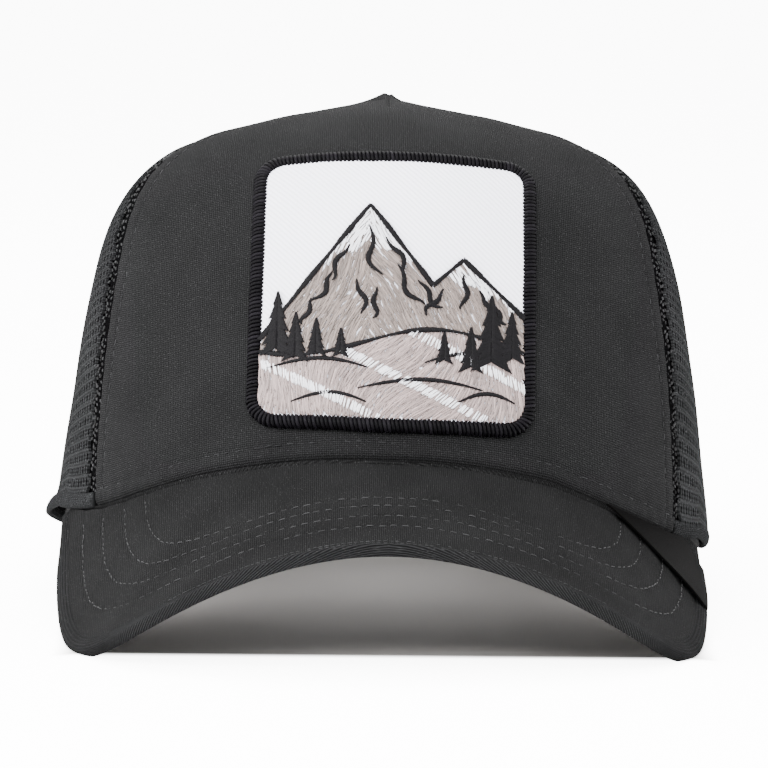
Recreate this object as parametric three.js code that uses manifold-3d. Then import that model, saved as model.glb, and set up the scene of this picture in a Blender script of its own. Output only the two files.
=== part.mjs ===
// Trucker hat, in millimetres, +Z up, its front toward -Y, resting on its visor corners and rear strap.
// The pieces are worked out in the hat's own frame, whose plane z = 0 is the rear hem, then leaned to rest.
// Left and right are the wearer's: left is +X.
import * as THREE from 'three';
import { mergeVertices } from 'three/addons/utils/BufferGeometryUtils.js';
import Module from 'manifold-3d';

const wasm = await Module();
wasm.setup();

// Head opening and crown
const HALF_WIDTH = 87;
const FRONT_REACH = 98;
const BACK_REACH = 100;
const APEX_Y = -20;
const CROWN_HEIGHT = 110.3;
const SEAM_FRONT = 60;
const SEAM_SIDE = 120;
const REAR = 180;

// Shape of the crown's upright curves, one row for each angle from the front
// straight: height of the upright wall's pull; lean: its inward lean in degrees
// flat: share of the way in that the top's pull reaches; slope: the top's fall in degrees
const CROWN_ROWS = [
  { angle: 0, straight: 80, lean: 8, flat: 0.91, slope: 10 },
  { angle: 30, straight: 88, lean: 6, flat: 0.85, slope: 12 },
  { angle: 60, straight: 102, lean: 0, flat: 0.94, slope: 15 },
  { angle: 90, straight: 56, lean: 7.3, flat: 0.72, slope: 15.5 },
  { angle: 120, straight: 58, lean: 7, flat: 0.75, slope: 14 },
  { angle: 150, straight: 58, lean: 5, flat: 0.72, slope: 12 },
  { angle: 180, straight: 58, lean: 4, flat: 0.7, slope: 11 },
];
const ROW_STEP = 30;

// Cloth thicknesses and the clearance between pieces
const FRONT_CLOTH = 2.6;
const MESH_CLOTH = 1.4;
const CLEARANCE = 0.3;
const TIP_RADIUS = 6.2;

// Dart folded into the top of the front panel, and the nub that it ends in
const DART_LENGTH = 25;
const DART_RISE = 1.7;
const DART_X = 0.8;
const DART_SOFT = 5;
const DART_STEEP = 1.6;
const NUB_RADIUS = 5.8;
const NUB_HALF_HEIGHT = 1.5;
const NUB_DROP = 1.3;

// Hem of the mesh, which flares where it is folded
const HEM_BAND = 8;
const HEM_FLARE = 1.6;

// Visor
const VISOR_RISE = 7.7;
const VISOR_SLOPE = 25;
const VISOR_END_ANGLE = 72;
const VISOR_HALF_WIDTH = 82.5;
const VISOR_TIP_Y = -152;
const VISOR_SQUARENESS = 3.4;
const BEND_AT_ENDS = 107;
const BEND_AT_TIP = 80;
const TIP_OPENS = 4.7;
const TIP_LIFT = 0.7;
const VISOR_THICK = 2.2;
const BINDING_THICK = 2.8;
const BINDING_WIDTH = 4.2;
const VISOR_TUCK = 0.8;
const BINDING_THIN = 1.6;
const BINDING_GAP = 0.4;
const CORE_END_ANGLE = 68;
const CORE_END = 0.9895;
const BINDING_END = 0.994;
const ENDS_FROM = 0.925;
const ENDS_TO = 0.975;

// Half-moon opening at the rear, its tape and the strap across it
const ARCH_HALF_WIDTH = 36;
const ARCH_HEIGHT = 48;
const ARCH_TAPE = 7;
const ARCH_TAPE_THICK = 2.4;
const STRAP_HEIGHT = 19;
const STRAP_THICK = 2;
const STRAP_INSET = 2.8;
const STRAP_DROP = 0.6;
const STRAP_ANGLE = 146;

// Sweatband
const BAND_HEIGHT = 32;
const BAND_THICK = 1.5;
const BAND_INSET = 2.9;
const BAND_ANGLE = 142.5;
const BAND_FOOT = 0.5;

// Patch on the front panel, measured along the cloth from its centre
const PATCH_HALF_WIDTH = 36.2;
const PATCH_HALF_HEIGHT = 38.2;
const PATCH_FOOT = 8.2;
const PATCH_X = 1.4;
const PATCH_TURN = 2.7;
const PATCH_CORNER = 6;
const BORDER_WIDTH = 3.8;
const BORDER_THICK = 2.6;
const GROUND_THICK = 1.3;
const FIELD_THICK = 0.7;

// Ribbon label folded over the visor's edge on the wearer's left
const LABEL_THICK = 0.6;
const LABEL_SEAM_FROM = 40;
const LABEL_SEAM_TO = 62;
const LABEL_RIM_FROM = 75;
const LABEL_RIM_TO = 86;
const LABEL_UNDER = 14;

// Spacing and steps of the lines by which places on the front panel are found
const COLUMN_PITCH = 2.5;
const COLUMN_STEPS = 30;

// How far the lowest edges settle flat on the floor
const SETTLE = 0.4;

const { degToRad } = THREE.MathUtils;

// Solve value(t) = wanted for a value that rises or falls steadily from t = low to t = high
function solve(value, wanted, low, high) {
  const rising = value(high) > value(low);
  for (let step = 0; step < 26; step += 1) {
    const middle = (low + high) / 2;
    if (value(middle) < wanted === rising) low = middle;
    else high = middle;
  }
  return (low + high) / 2;
}

function smooth(t) {
  const held = Math.min(Math.max(t, 0), 1);
  return held * held * (3 - 2 * held);
}

// The head opening's outline at an angle from the front, toward +X
function basePoint(angle) {
  const turn = degToRad(angle);
  const reach = Math.cos(turn) > 0 ? FRONT_REACH : BACK_REACH;
  return new THREE.Vector2(HALF_WIDTH * Math.sin(turn), -reach * Math.cos(turn));
}

// Height of the visor's upper face, a cylinder-like bend that tightens toward the tip and opens a little there
function visorTop(x, y) {
  const endY = basePoint(VISOR_END_ANGLE).y;
  const outward = (y - endY) / (VISOR_TIP_Y - endY);
  const ahead = Math.max((y + FRONT_REACH) / (VISOR_TIP_Y + FRONT_REACH), 0) ** 2;
  const bend = THREE.MathUtils.lerp(BEND_AT_ENDS, BEND_AT_TIP, outward) + TIP_OPENS * ahead;
  const drop = bend - Math.sqrt(Math.max(bend * bend - x * x, 0));
  return VISOR_RISE + (y + FRONT_REACH) * Math.tan(degToRad(VISOR_SLOPE)) - drop + TIP_LIFT * ahead;
}

// Height of the crown's lower edge: on the visor in front, and level behind it
function hemHeight(angle, inset = 0) {
  const size = Math.abs(angle);
  const held = Math.min(size, VISOR_END_ANGLE);
  const foot = basePoint(held);
  foot.multiplyScalar(1 - inset / foot.length());
  const fade = smooth((size - VISOR_END_ANGLE) / (SEAM_SIDE - VISOR_END_ANGLE));
  return (visorTop(foot.x, foot.y) + CLEARANCE) * (1 - fade);
}

// The table's values at any angle, passing smoothly through its rows
function crownRow(angle) {
  const last = CROWN_ROWS.length - 1;
  const place = Math.min(Math.abs(angle), REAR) / ROW_STEP;
  const first = Math.min(Math.floor(place), last - 1);
  const t = place - first;
  const row = (index) => CROWN_ROWS[last - Math.abs(last - Math.abs(index))];
  const read = (name) => {
    const [a, b, c, d] = [-1, 0, 1, 2].map((step) => row(first + step)[name]);
    const bend = (2 * a - 5 * b + 4 * c - d) * t * t + (3 * b - a - 3 * c + d) * t * t * t;
    return (2 * b + (c - a) * t + bend) / 2;
  };
  return { straight: read('straight'), lean: read('lean'), flat: read('flat'), slope: read('slope') };
}

// A point of the crown: rise is 0 at the hem and 1 at the apex
function crownPoint(angle, rise) {
  const { straight, lean, flat, slope } = crownRow(angle);
  const foot = basePoint(angle);
  const inward = new THREE.Vector2(0, APEX_Y).sub(foot);
  const length = inward.length();
  const pull = flat * length;
  const curve = new THREE.CubicBezierCurve(
    new THREE.Vector2(0, hemHeight(angle)),
    new THREE.Vector2(straight * Math.tan(degToRad(lean)), straight),
    new THREE.Vector2(length - pull, CROWN_HEIGHT - pull * Math.tan(degToRad(slope))),
    new THREE.Vector2(length, CROWN_HEIGHT),
  );
  const { x: inset, y: height } = curve.getPoint(rise);
  foot.addScaledVector(inward, inset / length);
  return new THREE.Vector3(foot.x, foot.y, height);
}

// The outward direction of a surface given as a function of two numbers
function normalOf(surface, u, v, stepU, stepV) {
  const alongU = surface(u + stepU, v).sub(surface(u - stepU, v));
  const alongV = surface(u, v + stepV).sub(surface(u, v - stepV));
  return alongU.cross(alongV).normalize();
}

function crownNormal(angle, rise) {
  const held = Math.min(Math.max(rise, 0.002), 0.995);
  return normalOf(crownPoint, angle, held, 0.2, 0.002);
}

function riseAtHeight(angle, height) {
  return solve((rise) => crownPoint(angle, rise).z, height, 0, 1);
}

function riseAtRadius(angle, radius) {
  const reach = (rise) => {
    const point = crownPoint(angle, rise);
    return Math.hypot(point.x, point.y - APEX_Y);
  };
  return solve(reach, radius, 0, 1);
}

// A point of the crown found by its x and its height, in front or behind
function crownAt(x, height, behind) {
  const far = behind ? 80 : 100;
  const angleOf = (size) => (behind ? REAR - size : size);
  const pointOf = (size) => {
    const angle = angleOf(size);
    return crownPoint(angle, riseAtHeight(angle, height));
  };
  const size = solve((value) => pointOf(value).x, Math.abs(x), 0, far);
  const angle = angleOf(size) * (x < 0 ? -1 : 1);
  const rise = riseAtHeight(angle, height);
  return { point: crownPoint(angle, rise), normal: crownNormal(angle, rise) };
}

// A closed solid from points and triangles, its faces turned outward
function solid(points, faces) {
  let volume = 0;
  for (let f = 0; f < faces.length; f += 3) {
    const [a, b, c] = [points[faces[f]], points[faces[f + 1]], points[faces[f + 2]]];
    volume += a.dot(b.clone().cross(c));
  }
  const geometry = new THREE.BufferGeometry().setFromPoints(points);
  geometry.setIndex(volume < 0 ? faces.slice().reverse() : faces);
  return geometry;
}

// A curved plate between two layers, each a function of two numbers from 0 to 1
function plate(columns, rows, outer, inner) {
  const points = [];
  for (const layer of [outer, inner]) {
    for (let i = 0; i <= columns; i += 1) {
      for (let j = 0; j <= rows; j += 1) points.push(layer(i / columns, j / rows));
    }
  }
  const at = (layer, i, j) => (layer * (columns + 1) + i) * (rows + 1) + j;
  const faces = [];
  const quad = (a, b, c, d) => faces.push(a, b, c, a, c, d);
  for (let i = 0; i < columns; i += 1) {
    for (let j = 0; j < rows; j += 1) {
      quad(at(0, i, j), at(0, i + 1, j), at(0, i + 1, j + 1), at(0, i, j + 1));
      quad(at(1, i, j), at(1, i, j + 1), at(1, i + 1, j + 1), at(1, i + 1, j));
    }
    quad(at(0, i, 0), at(1, i, 0), at(1, i + 1, 0), at(0, i + 1, 0));
    quad(at(0, i, rows), at(0, i + 1, rows), at(1, i + 1, rows), at(1, i, rows));
  }
  for (let j = 0; j < rows; j += 1) {
    quad(at(0, 0, j), at(0, 0, j + 1), at(1, 0, j + 1), at(1, 0, j));
    quad(at(0, columns, j), at(1, columns, j), at(1, columns, j + 1), at(0, columns, j + 1));
  }
  return solid(points, faces);
}

// A bar through a list of convex sections, closed into a ring or capped at its two ends
function bar(sections, ring = false) {
  const count = sections[0].length;
  const points = sections.flat();
  const faces = [];
  const spans = ring ? sections.length : sections.length - 1;
  for (let i = 0; i < spans; i += 1) {
    const here = i * count;
    const next = ((i + 1) % sections.length) * count;
    for (let j = 0; j < count; j += 1) {
      const k = (j + 1) % count;
      faces.push(here + j, next + j, next + k, here + j, next + k, here + k);
    }
  }
  if (!ring) {
    const end = spans * count;
    for (let j = 1; j < count - 1; j += 1) {
      faces.push(0, j, j + 1);
      faces.push(end, end + j + 1, end + j);
    }
  }
  return solid(points, faces);
}

// Boolean work is done on bare indexed geometry
function toManifold(geometry) {
  const bare = geometry.clone();
  bare.deleteAttribute('normal');
  bare.deleteAttribute('uv');
  const merged = mergeVertices(bare, 1e-5);
  return new wasm.Manifold(new wasm.Mesh({
    numProp: 3,
    vertProperties: new Float32Array(merged.attributes.position.array),
    triVerts: new Uint32Array(merged.index.array),
  }));
}

function fromManifold(manifold) {
  const mesh = manifold.getMesh();
  const geometry = new THREE.BufferGeometry();
  geometry.setAttribute('position', new THREE.BufferAttribute(mesh.vertProperties, 3));
  geometry.setIndex(new THREE.BufferAttribute(mesh.triVerts, 1));
  return geometry;
}

function join(a, b) {
  return fromManifold(toManifold(a).add(toManifold(b)));
}

function cut(a, b) {
  return fromManifold(toManifold(a).subtract(toManifold(b)));
}

// Half the clearance beside a seam, as an angle at this rise
function seamAngle(angle, rise) {
  const across = crownPoint(angle + 0.5, rise).distanceTo(crownPoint(angle - 0.5, rise));
  return CLEARANCE / 2 / across;
}

// One crown panel between two seam angles; shape moves its points where it is told to
function crownPanel(from, to, thick, tip, columns, rows, shape) {
  const middle = (from + to) / 2;
  const top = riseAtRadius(middle, tip);
  const place = (u, v) => {
    const rise = v * top;
    const low = from + seamAngle(from, rise);
    const high = to - seamAngle(to, rise);
    return [THREE.MathUtils.lerp(low, high, u), rise];
  };
  const outer = (u, v) => {
    const [angle, rise] = place(u, v);
    return shape(crownPoint(angle, rise), angle);
  };
  const inner = (u, v) => {
    const [angle, rise] = place(u, v);
    const point = crownPoint(angle, rise).addScaledVector(crownNormal(angle, rise), -thick);
    if (v === 0) point.z = hemHeight(angle, thick);
    return shape(point, angle);
  };
  return plate(columns, rows, outer, inner);
}

// Lift of the dart: soft on one side, steep on the other, fading toward the front
function dartLift(point) {
  const forward = (APEX_Y - point.y) / DART_LENGTH;
  if (forward > 1) return 0;
  const aside = point.x - DART_X;
  const spread = aside < 0 ? DART_SOFT : DART_STEEP;
  return DART_RISE * (1 - Math.max(forward, 0)) ** 2 * Math.exp(-((aside / spread) ** 2));
}

function frontPanel() {
  const raised = (point) => point.setZ(point.z + dartLift(point));
  const panel = crownPanel(-SEAM_FRONT, SEAM_FRONT, FRONT_CLOTH, 2, 26, 22, raised);
  const nub = new THREE.SphereGeometry(1, 16, 8);
  nub.rotateX(Math.PI / 2);
  nub.scale(NUB_RADIUS, NUB_RADIUS, NUB_HALF_HEIGHT);
  nub.translate(0, APEX_Y, CROWN_HEIGHT - NUB_DROP);
  return join(panel, nub);
}

// The folded hem pushes the mesh outward over its last few millimetres
function flared(point, angle) {
  const foot = hemHeight(angle);
  const height = Math.min(Math.max((point.z - foot) / HEM_BAND, 0), 1);
  const grown = smooth((Math.abs(angle) - SEAM_FRONT) / 12);
  const push = HEM_FLARE * (1 - height) ** 2 * grown;
  const outward = new THREE.Vector3(point.x, point.y, 0).normalize();
  return point.addScaledVector(outward, push);
}

function meshPanel(from, to) {
  return crownPanel(from, to, MESH_CLOTH, TIP_RADIUS, 9, 15, flared);
}

// Outline of the half-moon in the rear view, grown outward by some margin
function archPoint(turn, margin) {
  const x = (ARCH_HALF_WIDTH + margin) * Math.cos(turn);
  const z = (ARCH_HEIGHT + margin) * Math.sin(turn);
  return new THREE.Vector2(x, z);
}

function archCutter(margin) {
  const outline = new THREE.Shape();
  outline.moveTo(ARCH_HALF_WIDTH + margin, -10);
  for (let step = 0; step <= 24; step += 1) {
    const { x, y } = archPoint(Math.PI * step / 24, margin);
    outline.lineTo(x, y);
  }
  outline.lineTo(-ARCH_HALF_WIDTH - margin, -10);
  const prism = new THREE.ExtrudeGeometry(outline, { depth: 90, bevelEnabled: false });
  prism.rotateX(Math.PI / 2);
  prism.translate(0, 130, 0);
  return prism;
}

function backMesh(from, to) {
  return cut(meshPanel(from, to), archCutter(ARCH_TAPE + CLEARANCE));
}

// Tape round the half-moon, as a bent strip in place of the mesh's edge
function archTape() {
  const sections = [];
  const steps = 28;
  for (let step = 0; step <= steps; step += 1) {
    const turn = Math.PI * step / steps;
    const edges = [0, ARCH_TAPE].map((margin) => {
      const { x, y: z } = archPoint(turn, margin);
      return crownAt(x, Math.max(z, 0.4), true);
    });
    const [near, far] = edges;
    sections.push([
      near.point.clone(),
      far.point.clone(),
      far.point.clone().addScaledVector(far.normal, -ARCH_TAPE_THICK),
      near.point.clone().addScaledVector(near.normal, -ARCH_TAPE_THICK),
    ]);
  }
  return bar(sections);
}

// A band that follows the crown's inside between two heights above the hem
function innerBand(from, to, steps, inset, thick, low, high) {
  const sections = [];
  for (let step = 0; step <= steps; step += 1) {
    const angle = THREE.MathUtils.lerp(from, to, step / steps);
    const foot = hemHeight(angle);
    const corner = (height, depth) => {
      const held = Math.max(foot + height, foot);
      const rise = riseAtHeight(angle, held);
      const point = crownPoint(angle, rise).addScaledVector(crownNormal(angle, rise), -depth);
      point.z += foot + height - held;
      return point;
    };
    sections.push([
      corner(low, inset),
      corner(high, inset),
      corner(high, inset + thick),
      corner(low, inset + thick),
    ]);
  }
  return bar(sections);
}

function sweatband() {
  return innerBand(-BAND_ANGLE, BAND_ANGLE, 60, BAND_INSET, BAND_THICK, BAND_FOOT, BAND_HEIGHT);
}

function snapStrap() {
  const high = STRAP_HEIGHT - STRAP_DROP;
  const turned = REAR * 2 - STRAP_ANGLE;
  return innerBand(STRAP_ANGLE, turned, 24, STRAP_INSET, STRAP_THICK, -STRAP_DROP, high);
}

// The visor's outer edge in plan; t runs from -1 at one end through 0 at the tip to 1
function rimEdge(t) {
  const held = Math.min(Math.abs(t), 1);
  const endY = basePoint(VISOR_END_ANGLE).y;
  const turn = held * Math.PI / 2;
  const power = 2 / VISOR_SQUARENESS;
  const x = VISOR_HALF_WIDTH * Math.sin(turn) ** power * Math.sign(t);
  const y = endY + (VISOR_TIP_Y - endY) * Math.cos(turn) ** power;
  return new THREE.Vector2(x, y);
}

function rimPoint(t, inset = 0) {
  const along = rimEdge(t + 0.004).sub(rimEdge(t - 0.004)).normalize();
  return rimEdge(t).add(new THREE.Vector2(-along.y, along.x).multiplyScalar(inset));
}

// The visor's inner edge, tucked under the front panel
function rootPoint(angle) {
  const foot = basePoint(angle);
  return foot.multiplyScalar(1 - VISOR_TUCK / foot.length());
}

function visorSurface(x, y) {
  return new THREE.Vector3(x, y, visorTop(x, y));
}

function visorPoint(place, depth) {
  const normal = normalOf(visorSurface, place.x, place.y, 0.1, 0.1);
  return visorSurface(place.x, place.y).addScaledVector(normal, -depth);
}

// The binding narrows toward the visor's two ends, where it runs in under the hem
function endShare(t) {
  return smooth((Math.abs(t) - ENDS_FROM) / (ENDS_TO - ENDS_FROM));
}

function bindingWidth(t) {
  return THREE.MathUtils.lerp(BINDING_WIDTH, BINDING_THIN, endShare(t));
}

function visor() {
  const layer = (depth) => (u, v) => {
    const side = 2 * u - 1;
    const root = rootPoint(CORE_END_ANGLE * side);
    const rim = rimPoint(CORE_END * side, bindingWidth(CORE_END * side) + BINDING_GAP);
    return visorPoint(root.lerp(rim, v), depth);
  };
  return plate(40, 6, layer(0), layer(VISOR_THICK));
}

// Binding round the visor's edge: thicker than the visor and rounded outside
function visorBinding() {
  const sections = [];
  const steps = 56;
  for (let step = 0; step <= steps; step += 1) {
    const t = BINDING_END * (2 * step / steps - 1);
    const width = bindingWidth(t);
    const proud = THREE.MathUtils.lerp((BINDING_THICK - VISOR_THICK) / 2, -0.3, endShare(t));
    const shape = [
      [width, -proud],
      [1.2, -proud],
      [0.2, 0.4],
      [0, VISOR_THICK / 2],
      [0.2, VISOR_THICK - 0.4],
      [1.2, VISOR_THICK + proud],
      [width, VISOR_THICK + proud],
    ];
    sections.push(shape.map(([inset, depth]) => visorPoint(rimPoint(t, inset), depth)));
  }
  return bar(sections);
}

// Lines of the front panel at evenly spaced x, as lengths along the cloth from the patch's foot
const columns = new Map();

function frontColumn(index) {
  if (columns.has(index)) return columns.get(index);
  const foot = visorTop(0, -FRONT_REACH) + PATCH_FOOT;
  const top = CROWN_HEIGHT - 6;
  const places = [];
  let length = 0;
  for (let step = 0; step <= COLUMN_STEPS; step += 1) {
    const height = THREE.MathUtils.lerp(foot, top, step / COLUMN_STEPS);
    const place = crownAt(index * COLUMN_PITCH, height, false);
    if (step > 0) length += place.point.distanceTo(places[step - 1].point);
    places.push({ length, ...place });
  }
  columns.set(index, places);
  return places;
}

// The place on one such line at a length, extended straight past its foot
function columnPlace(index, length) {
  const places = frontColumn(index);
  const found = places.findIndex((place) => place.length > length);
  const next = Math.max(found, 1);
  const [low, high] = [places[next - 1], places[next]];
  const t = (length - low.length) / (high.length - low.length);
  const point = low.point.clone().lerp(high.point, t);
  return { point, normal: low.normal.clone().lerp(high.normal, t) };
}

// A point over the front panel: across and up from the patch's centre, and out from the cloth
function patchPoint(across, up, out) {
  const turn = degToRad(PATCH_TURN);
  const x = PATCH_X + across * Math.cos(turn) + up * Math.sin(turn);
  const length = PATCH_HALF_HEIGHT - across * Math.sin(turn) + up * Math.cos(turn);
  const index = Math.floor(x / COLUMN_PITCH);
  const [near, far] = [columnPlace(index, length), columnPlace(index + 1, length)];
  const t = x / COLUMN_PITCH - index;
  const normal = near.normal.lerp(far.normal, t).normalize();
  return near.point.lerp(far.point, t).addScaledVector(normal, out);
}

// A plate on the patch between two heights that are functions of the place across
function field(from, to, lower, upper, low, high, columnsAcross, rowsUp) {
  const layer = (out) => (u, v) => {
    const across = THREE.MathUtils.lerp(from, to, u);
    return patchPoint(across, THREE.MathUtils.lerp(lower(across), upper(across), v), out);
  };
  return plate(columnsAcross, rowsUp, layer(high), layer(low));
}

const GROUND_HALF_WIDTH = PATCH_HALF_WIDTH - BORDER_WIDTH - CLEARANCE;
const GROUND_HALF_HEIGHT = PATCH_HALF_HEIGHT - BORDER_WIDTH - CLEARANCE;
const FIELD_FOOT = CLEARANCE * 2 + GROUND_THICK;
const FIELD_TOP = FIELD_FOOT + FIELD_THICK;

function patchGround() {
  const corner = PATCH_CORNER - BORDER_WIDTH;
  const side = (across) => {
    const into = Math.max(Math.abs(across) - (GROUND_HALF_WIDTH - corner), 0);
    return GROUND_HALF_HEIGHT - corner + Math.sqrt(Math.max(corner * corner - into * into, 0));
  };
  const top = CLEARANCE + GROUND_THICK;
  const width = GROUND_HALF_WIDTH;
  return field(-width, width, (across) => -side(across), side, CLEARANCE, top, 12, 10);
}

// The thick border, a half-round bar along the patch's rounded outline
function patchBorder() {
  const section = [
    [0, 0],
    [0, 0.55],
    [0.22, 0.9],
    [0.5, 1],
    [0.78, 0.9],
    [1, 0.55],
    [1, 0],
  ];
  const straightX = PATCH_HALF_WIDTH - PATCH_CORNER;
  const straightY = PATCH_HALF_HEIGHT - PATCH_CORNER;
  const stations = [];
  const sides = [
    { x: 1, y: 1 },
    { x: -1, y: 1 },
    { x: -1, y: -1 },
    { x: 1, y: -1 },
  ];
  sides.forEach((side, quarter) => {
    for (let step = 0; step <= 3; step += 1) {
      const turn = Math.PI / 2 * (quarter + step / 3);
      stations.push({ x: side.x * straightX, y: side.y * straightY, turn });
    }
    const next = sides[(quarter + 1) % 4];
    const turn = Math.PI / 2 * (quarter + 1);
    for (let step = 1; step < 10; step += 1) {
      const x = THREE.MathUtils.lerp(side.x, next.x, step / 10) * straightX;
      const y = THREE.MathUtils.lerp(side.y, next.y, step / 10) * straightY;
      stations.push({ x, y, turn });
    }
  });
  const sections = stations.map(({ x, y, turn }) => section.map(([inset, height]) => {
    const reach = PATCH_CORNER - inset * BORDER_WIDTH;
    const across = x + reach * Math.cos(turn);
    const up = y + reach * Math.sin(turn);
    return patchPoint(across, up, CLEARANCE + height * BORDER_THICK);
  }));
  return bar(sections, true);
}

// A generic mountain scene stands on the ground: hills, two peaks and a snow cap
function hillLine(across) {
  return -15 + 3.5 * Math.sin(across / 11 + 0.6);
}

function ridgeLine(across) {
  const main = 21 - 1.35 * Math.abs(across + 6);
  const second = 7 - 0.95 * Math.abs(across - 17);
  return Math.max(main, second, hillLine(across) + 1.5);
}

function snowLine(across) {
  return 9.5 - 0.45 * Math.abs(across + 6);
}

function patchHills() {
  const width = GROUND_HALF_WIDTH - 1;
  const low = () => -GROUND_HALF_HEIGHT + 1;
  return field(-width, width, low, hillLine, FIELD_FOOT, FIELD_TOP, 16, 3);
}

function patchPeaks() {
  const low = (across) => hillLine(across) + CLEARANCE;
  const high = (across) => Math.min(ridgeLine(across), snowLine(across) - CLEARANCE);
  return field(-30, 30, low, high, FIELD_FOOT, FIELD_TOP, 30, 3);
}

function patchSnow() {
  const high = (across) => Math.max(ridgeLine(across), snowLine(across) + 0.5);
  return field(-16, 4, snowLine, high, FIELD_FOOT, FIELD_TOP, 10, 4);
}

// Ribbon from the seam over the visor's edge and back underneath, one section for each step
function visorLabel() {
  const lift = (BINDING_THICK - VISOR_THICK) / 2 + CLEARANCE;
  const across = 6;
  const path = [];
  for (let step = 0; step <= 8; step += 1) path.push({ along: step / 8, side: 0 });
  for (let step = 1; step <= 5; step += 1) path.push({ along: 1, side: step / 6 });
  for (let step = 0; step <= 4; step += 1) path.push({ along: 1 - 0.1 * step, side: 1 });
  const layer = (out) => (u, v) => {
    const { along, side } = path[Math.round(u * (path.length - 1))];
    const seam = THREE.MathUtils.lerp(LABEL_SEAM_FROM, LABEL_SEAM_TO, v);
    const edge = THREE.MathUtils.lerp(LABEL_RIM_FROM, LABEL_RIM_TO, v) / 90;
    const root = rootPoint(seam).multiplyScalar(1 + (VISOR_TUCK + 0.5) / rootPoint(seam).length());
    const plan = root.lerp(rimPoint(edge, 1.2), along);
    const turn = Math.PI * side;
    const half = VISOR_THICK / 2 + lift + out;
    const depth = VISOR_THICK / 2 - half * Math.cos(turn);
    const beyond = rimPoint(edge, -(half - 0.4) * Math.sin(turn)).sub(rimPoint(edge, 0));
    return visorPoint(plan.add(beyond), depth);
  };
  return plate(path.length - 1, across, layer(LABEL_THICK), layer(0));
}

const PAINTS = {
  canvas: { color: 0x373838, roughness: 0.93, metalness: 0 },
  mesh: { color: 0x3c3e40, roughness: 0.8, metalness: 0 },
  visor_cloth: { color: 0x3b3b3b, roughness: 0.93, metalness: 0 },
  tape: { color: 0x2e2f30, roughness: 0.9, metalness: 0 },
  band: { color: 0x303132, roughness: 0.95, metalness: 0 },
  strap: { color: 0x2a2b2c, roughness: 0.45, metalness: 0 },
  patch_white: { color: 0xeeeef2, roughness: 0.75, metalness: 0 },
  thread_black: { color: 0x18181b, roughness: 0.6, metalness: 0 },
  thread_taupe: { color: 0x968780, roughness: 0.6, metalness: 0 },
  thread_mauve: { color: 0xaf9b98, roughness: 0.6, metalness: 0 },
  ribbon: { color: 0x1b1b1d, roughness: 0.4, metalness: 0 },
};

function material(name) {
  return new THREE.MeshStandardMaterial({ name, side: THREE.FrontSide, ...PAINTS[name] });
}

// How the hat leans: its strap and its visor corners both reach the floor
function restPose() {
  const pivot = new THREE.Vector2(BACK_REACH - STRAP_INSET, -STRAP_DROP);
  let lean = 0;
  for (let step = 0; step <= 90; step += 1) {
    for (const [inset, depth] of [[0.2, VISOR_THICK - 0.4], [1.2, (VISOR_THICK + BINDING_THICK) / 2]]) {
      const low = visorPoint(rimPoint(step / 100, inset), depth);
      lean = Math.max(lean, Math.atan2(pivot.y - low.z, pivot.x - low.y));
    }
  }
  return { pivot, lean };
}

function hatMatrix() {
  const { pivot, lean } = restPose();
  return new THREE.Matrix4()
    .makeTranslation(0, pivot.x, -SETTLE)
    .multiply(new THREE.Matrix4().makeRotationX(-lean))
    .multiply(new THREE.Matrix4().makeTranslation(0, -pivot.x, -pivot.y));
}

// Cut off what would reach below the floor, so that the piece rests on a flat
function restedFlat(geometry, placing) {
  const floor = new THREE.BoxGeometry(400, 400, 20);
  floor.translate(0, 0, -10);
  floor.applyMatrix4(placing.clone().invert());
  return cut(geometry, floor);
}

function piece(name, geometry, paint) {
  geometry.computeVertexNormals();
  const mesh = new THREE.Mesh(geometry, material(paint));
  mesh.name = name;
  return mesh;
}

const placing = hatMatrix();
const crown = new THREE.Group();
crown.add(
  piece('front_panel', frontPanel(), 'canvas'),
  piece('side_mesh_left', meshPanel(SEAM_FRONT, SEAM_SIDE), 'mesh'),
  piece('side_mesh_right', meshPanel(-SEAM_SIDE, -SEAM_FRONT), 'mesh'),
  piece('back_mesh_left', backMesh(SEAM_SIDE, REAR), 'mesh'),
  piece('back_mesh_right', backMesh(-REAR, -SEAM_SIDE), 'mesh'),
  piece('sweatband', sweatband(), 'band'),
);

const rear = new THREE.Group();
rear.add(
  piece('arch_binding', archTape(), 'tape'),
  piece('snap_strap', restedFlat(snapStrap(), placing), 'strap'),
);

const peak = new THREE.Group();
peak.add(
  piece('visor', visor(), 'visor_cloth'),
  piece('visor_binding', restedFlat(visorBinding(), placing), 'tape'),
  piece('visor_label', visorLabel(), 'ribbon'),
);

const patch = new THREE.Group();
patch.add(
  piece('patch_ground', patchGround(), 'patch_white'),
  piece('patch_border', patchBorder(), 'thread_black'),
  piece('patch_hills', patchHills(), 'thread_mauve'),
  piece('patch_peaks', patchPeaks(), 'thread_taupe'),
  piece('patch_snow', patchSnow(), 'patch_white'),
);

const hat = new THREE.Group();
hat.add(crown, rear, peak, patch);
hat.applyMatrix4(placing);

// The origin is the middle of the underside of the hat's box
const part = new THREE.Group();
part.add(hat);
hat.position.y -= new THREE.Box3().setFromObject(part, true).getCenter(new THREE.Vector3()).y;

export default part;
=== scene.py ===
"""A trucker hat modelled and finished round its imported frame, laid out as a Blender add-on.

Lengths are in metres. The hat's shape is worked out in its own frame, where the plane z = 0 is the
rear hem and the front is toward -Y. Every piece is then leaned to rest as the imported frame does.
Angles round the crown run from the front toward +X, the wearer's left, in degrees.
"""

import math

import bpy
import numpy as np
from bpy.props import FloatProperty, FloatVectorProperty, IntProperty, PointerProperty
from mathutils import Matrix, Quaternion, Vector


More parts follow.
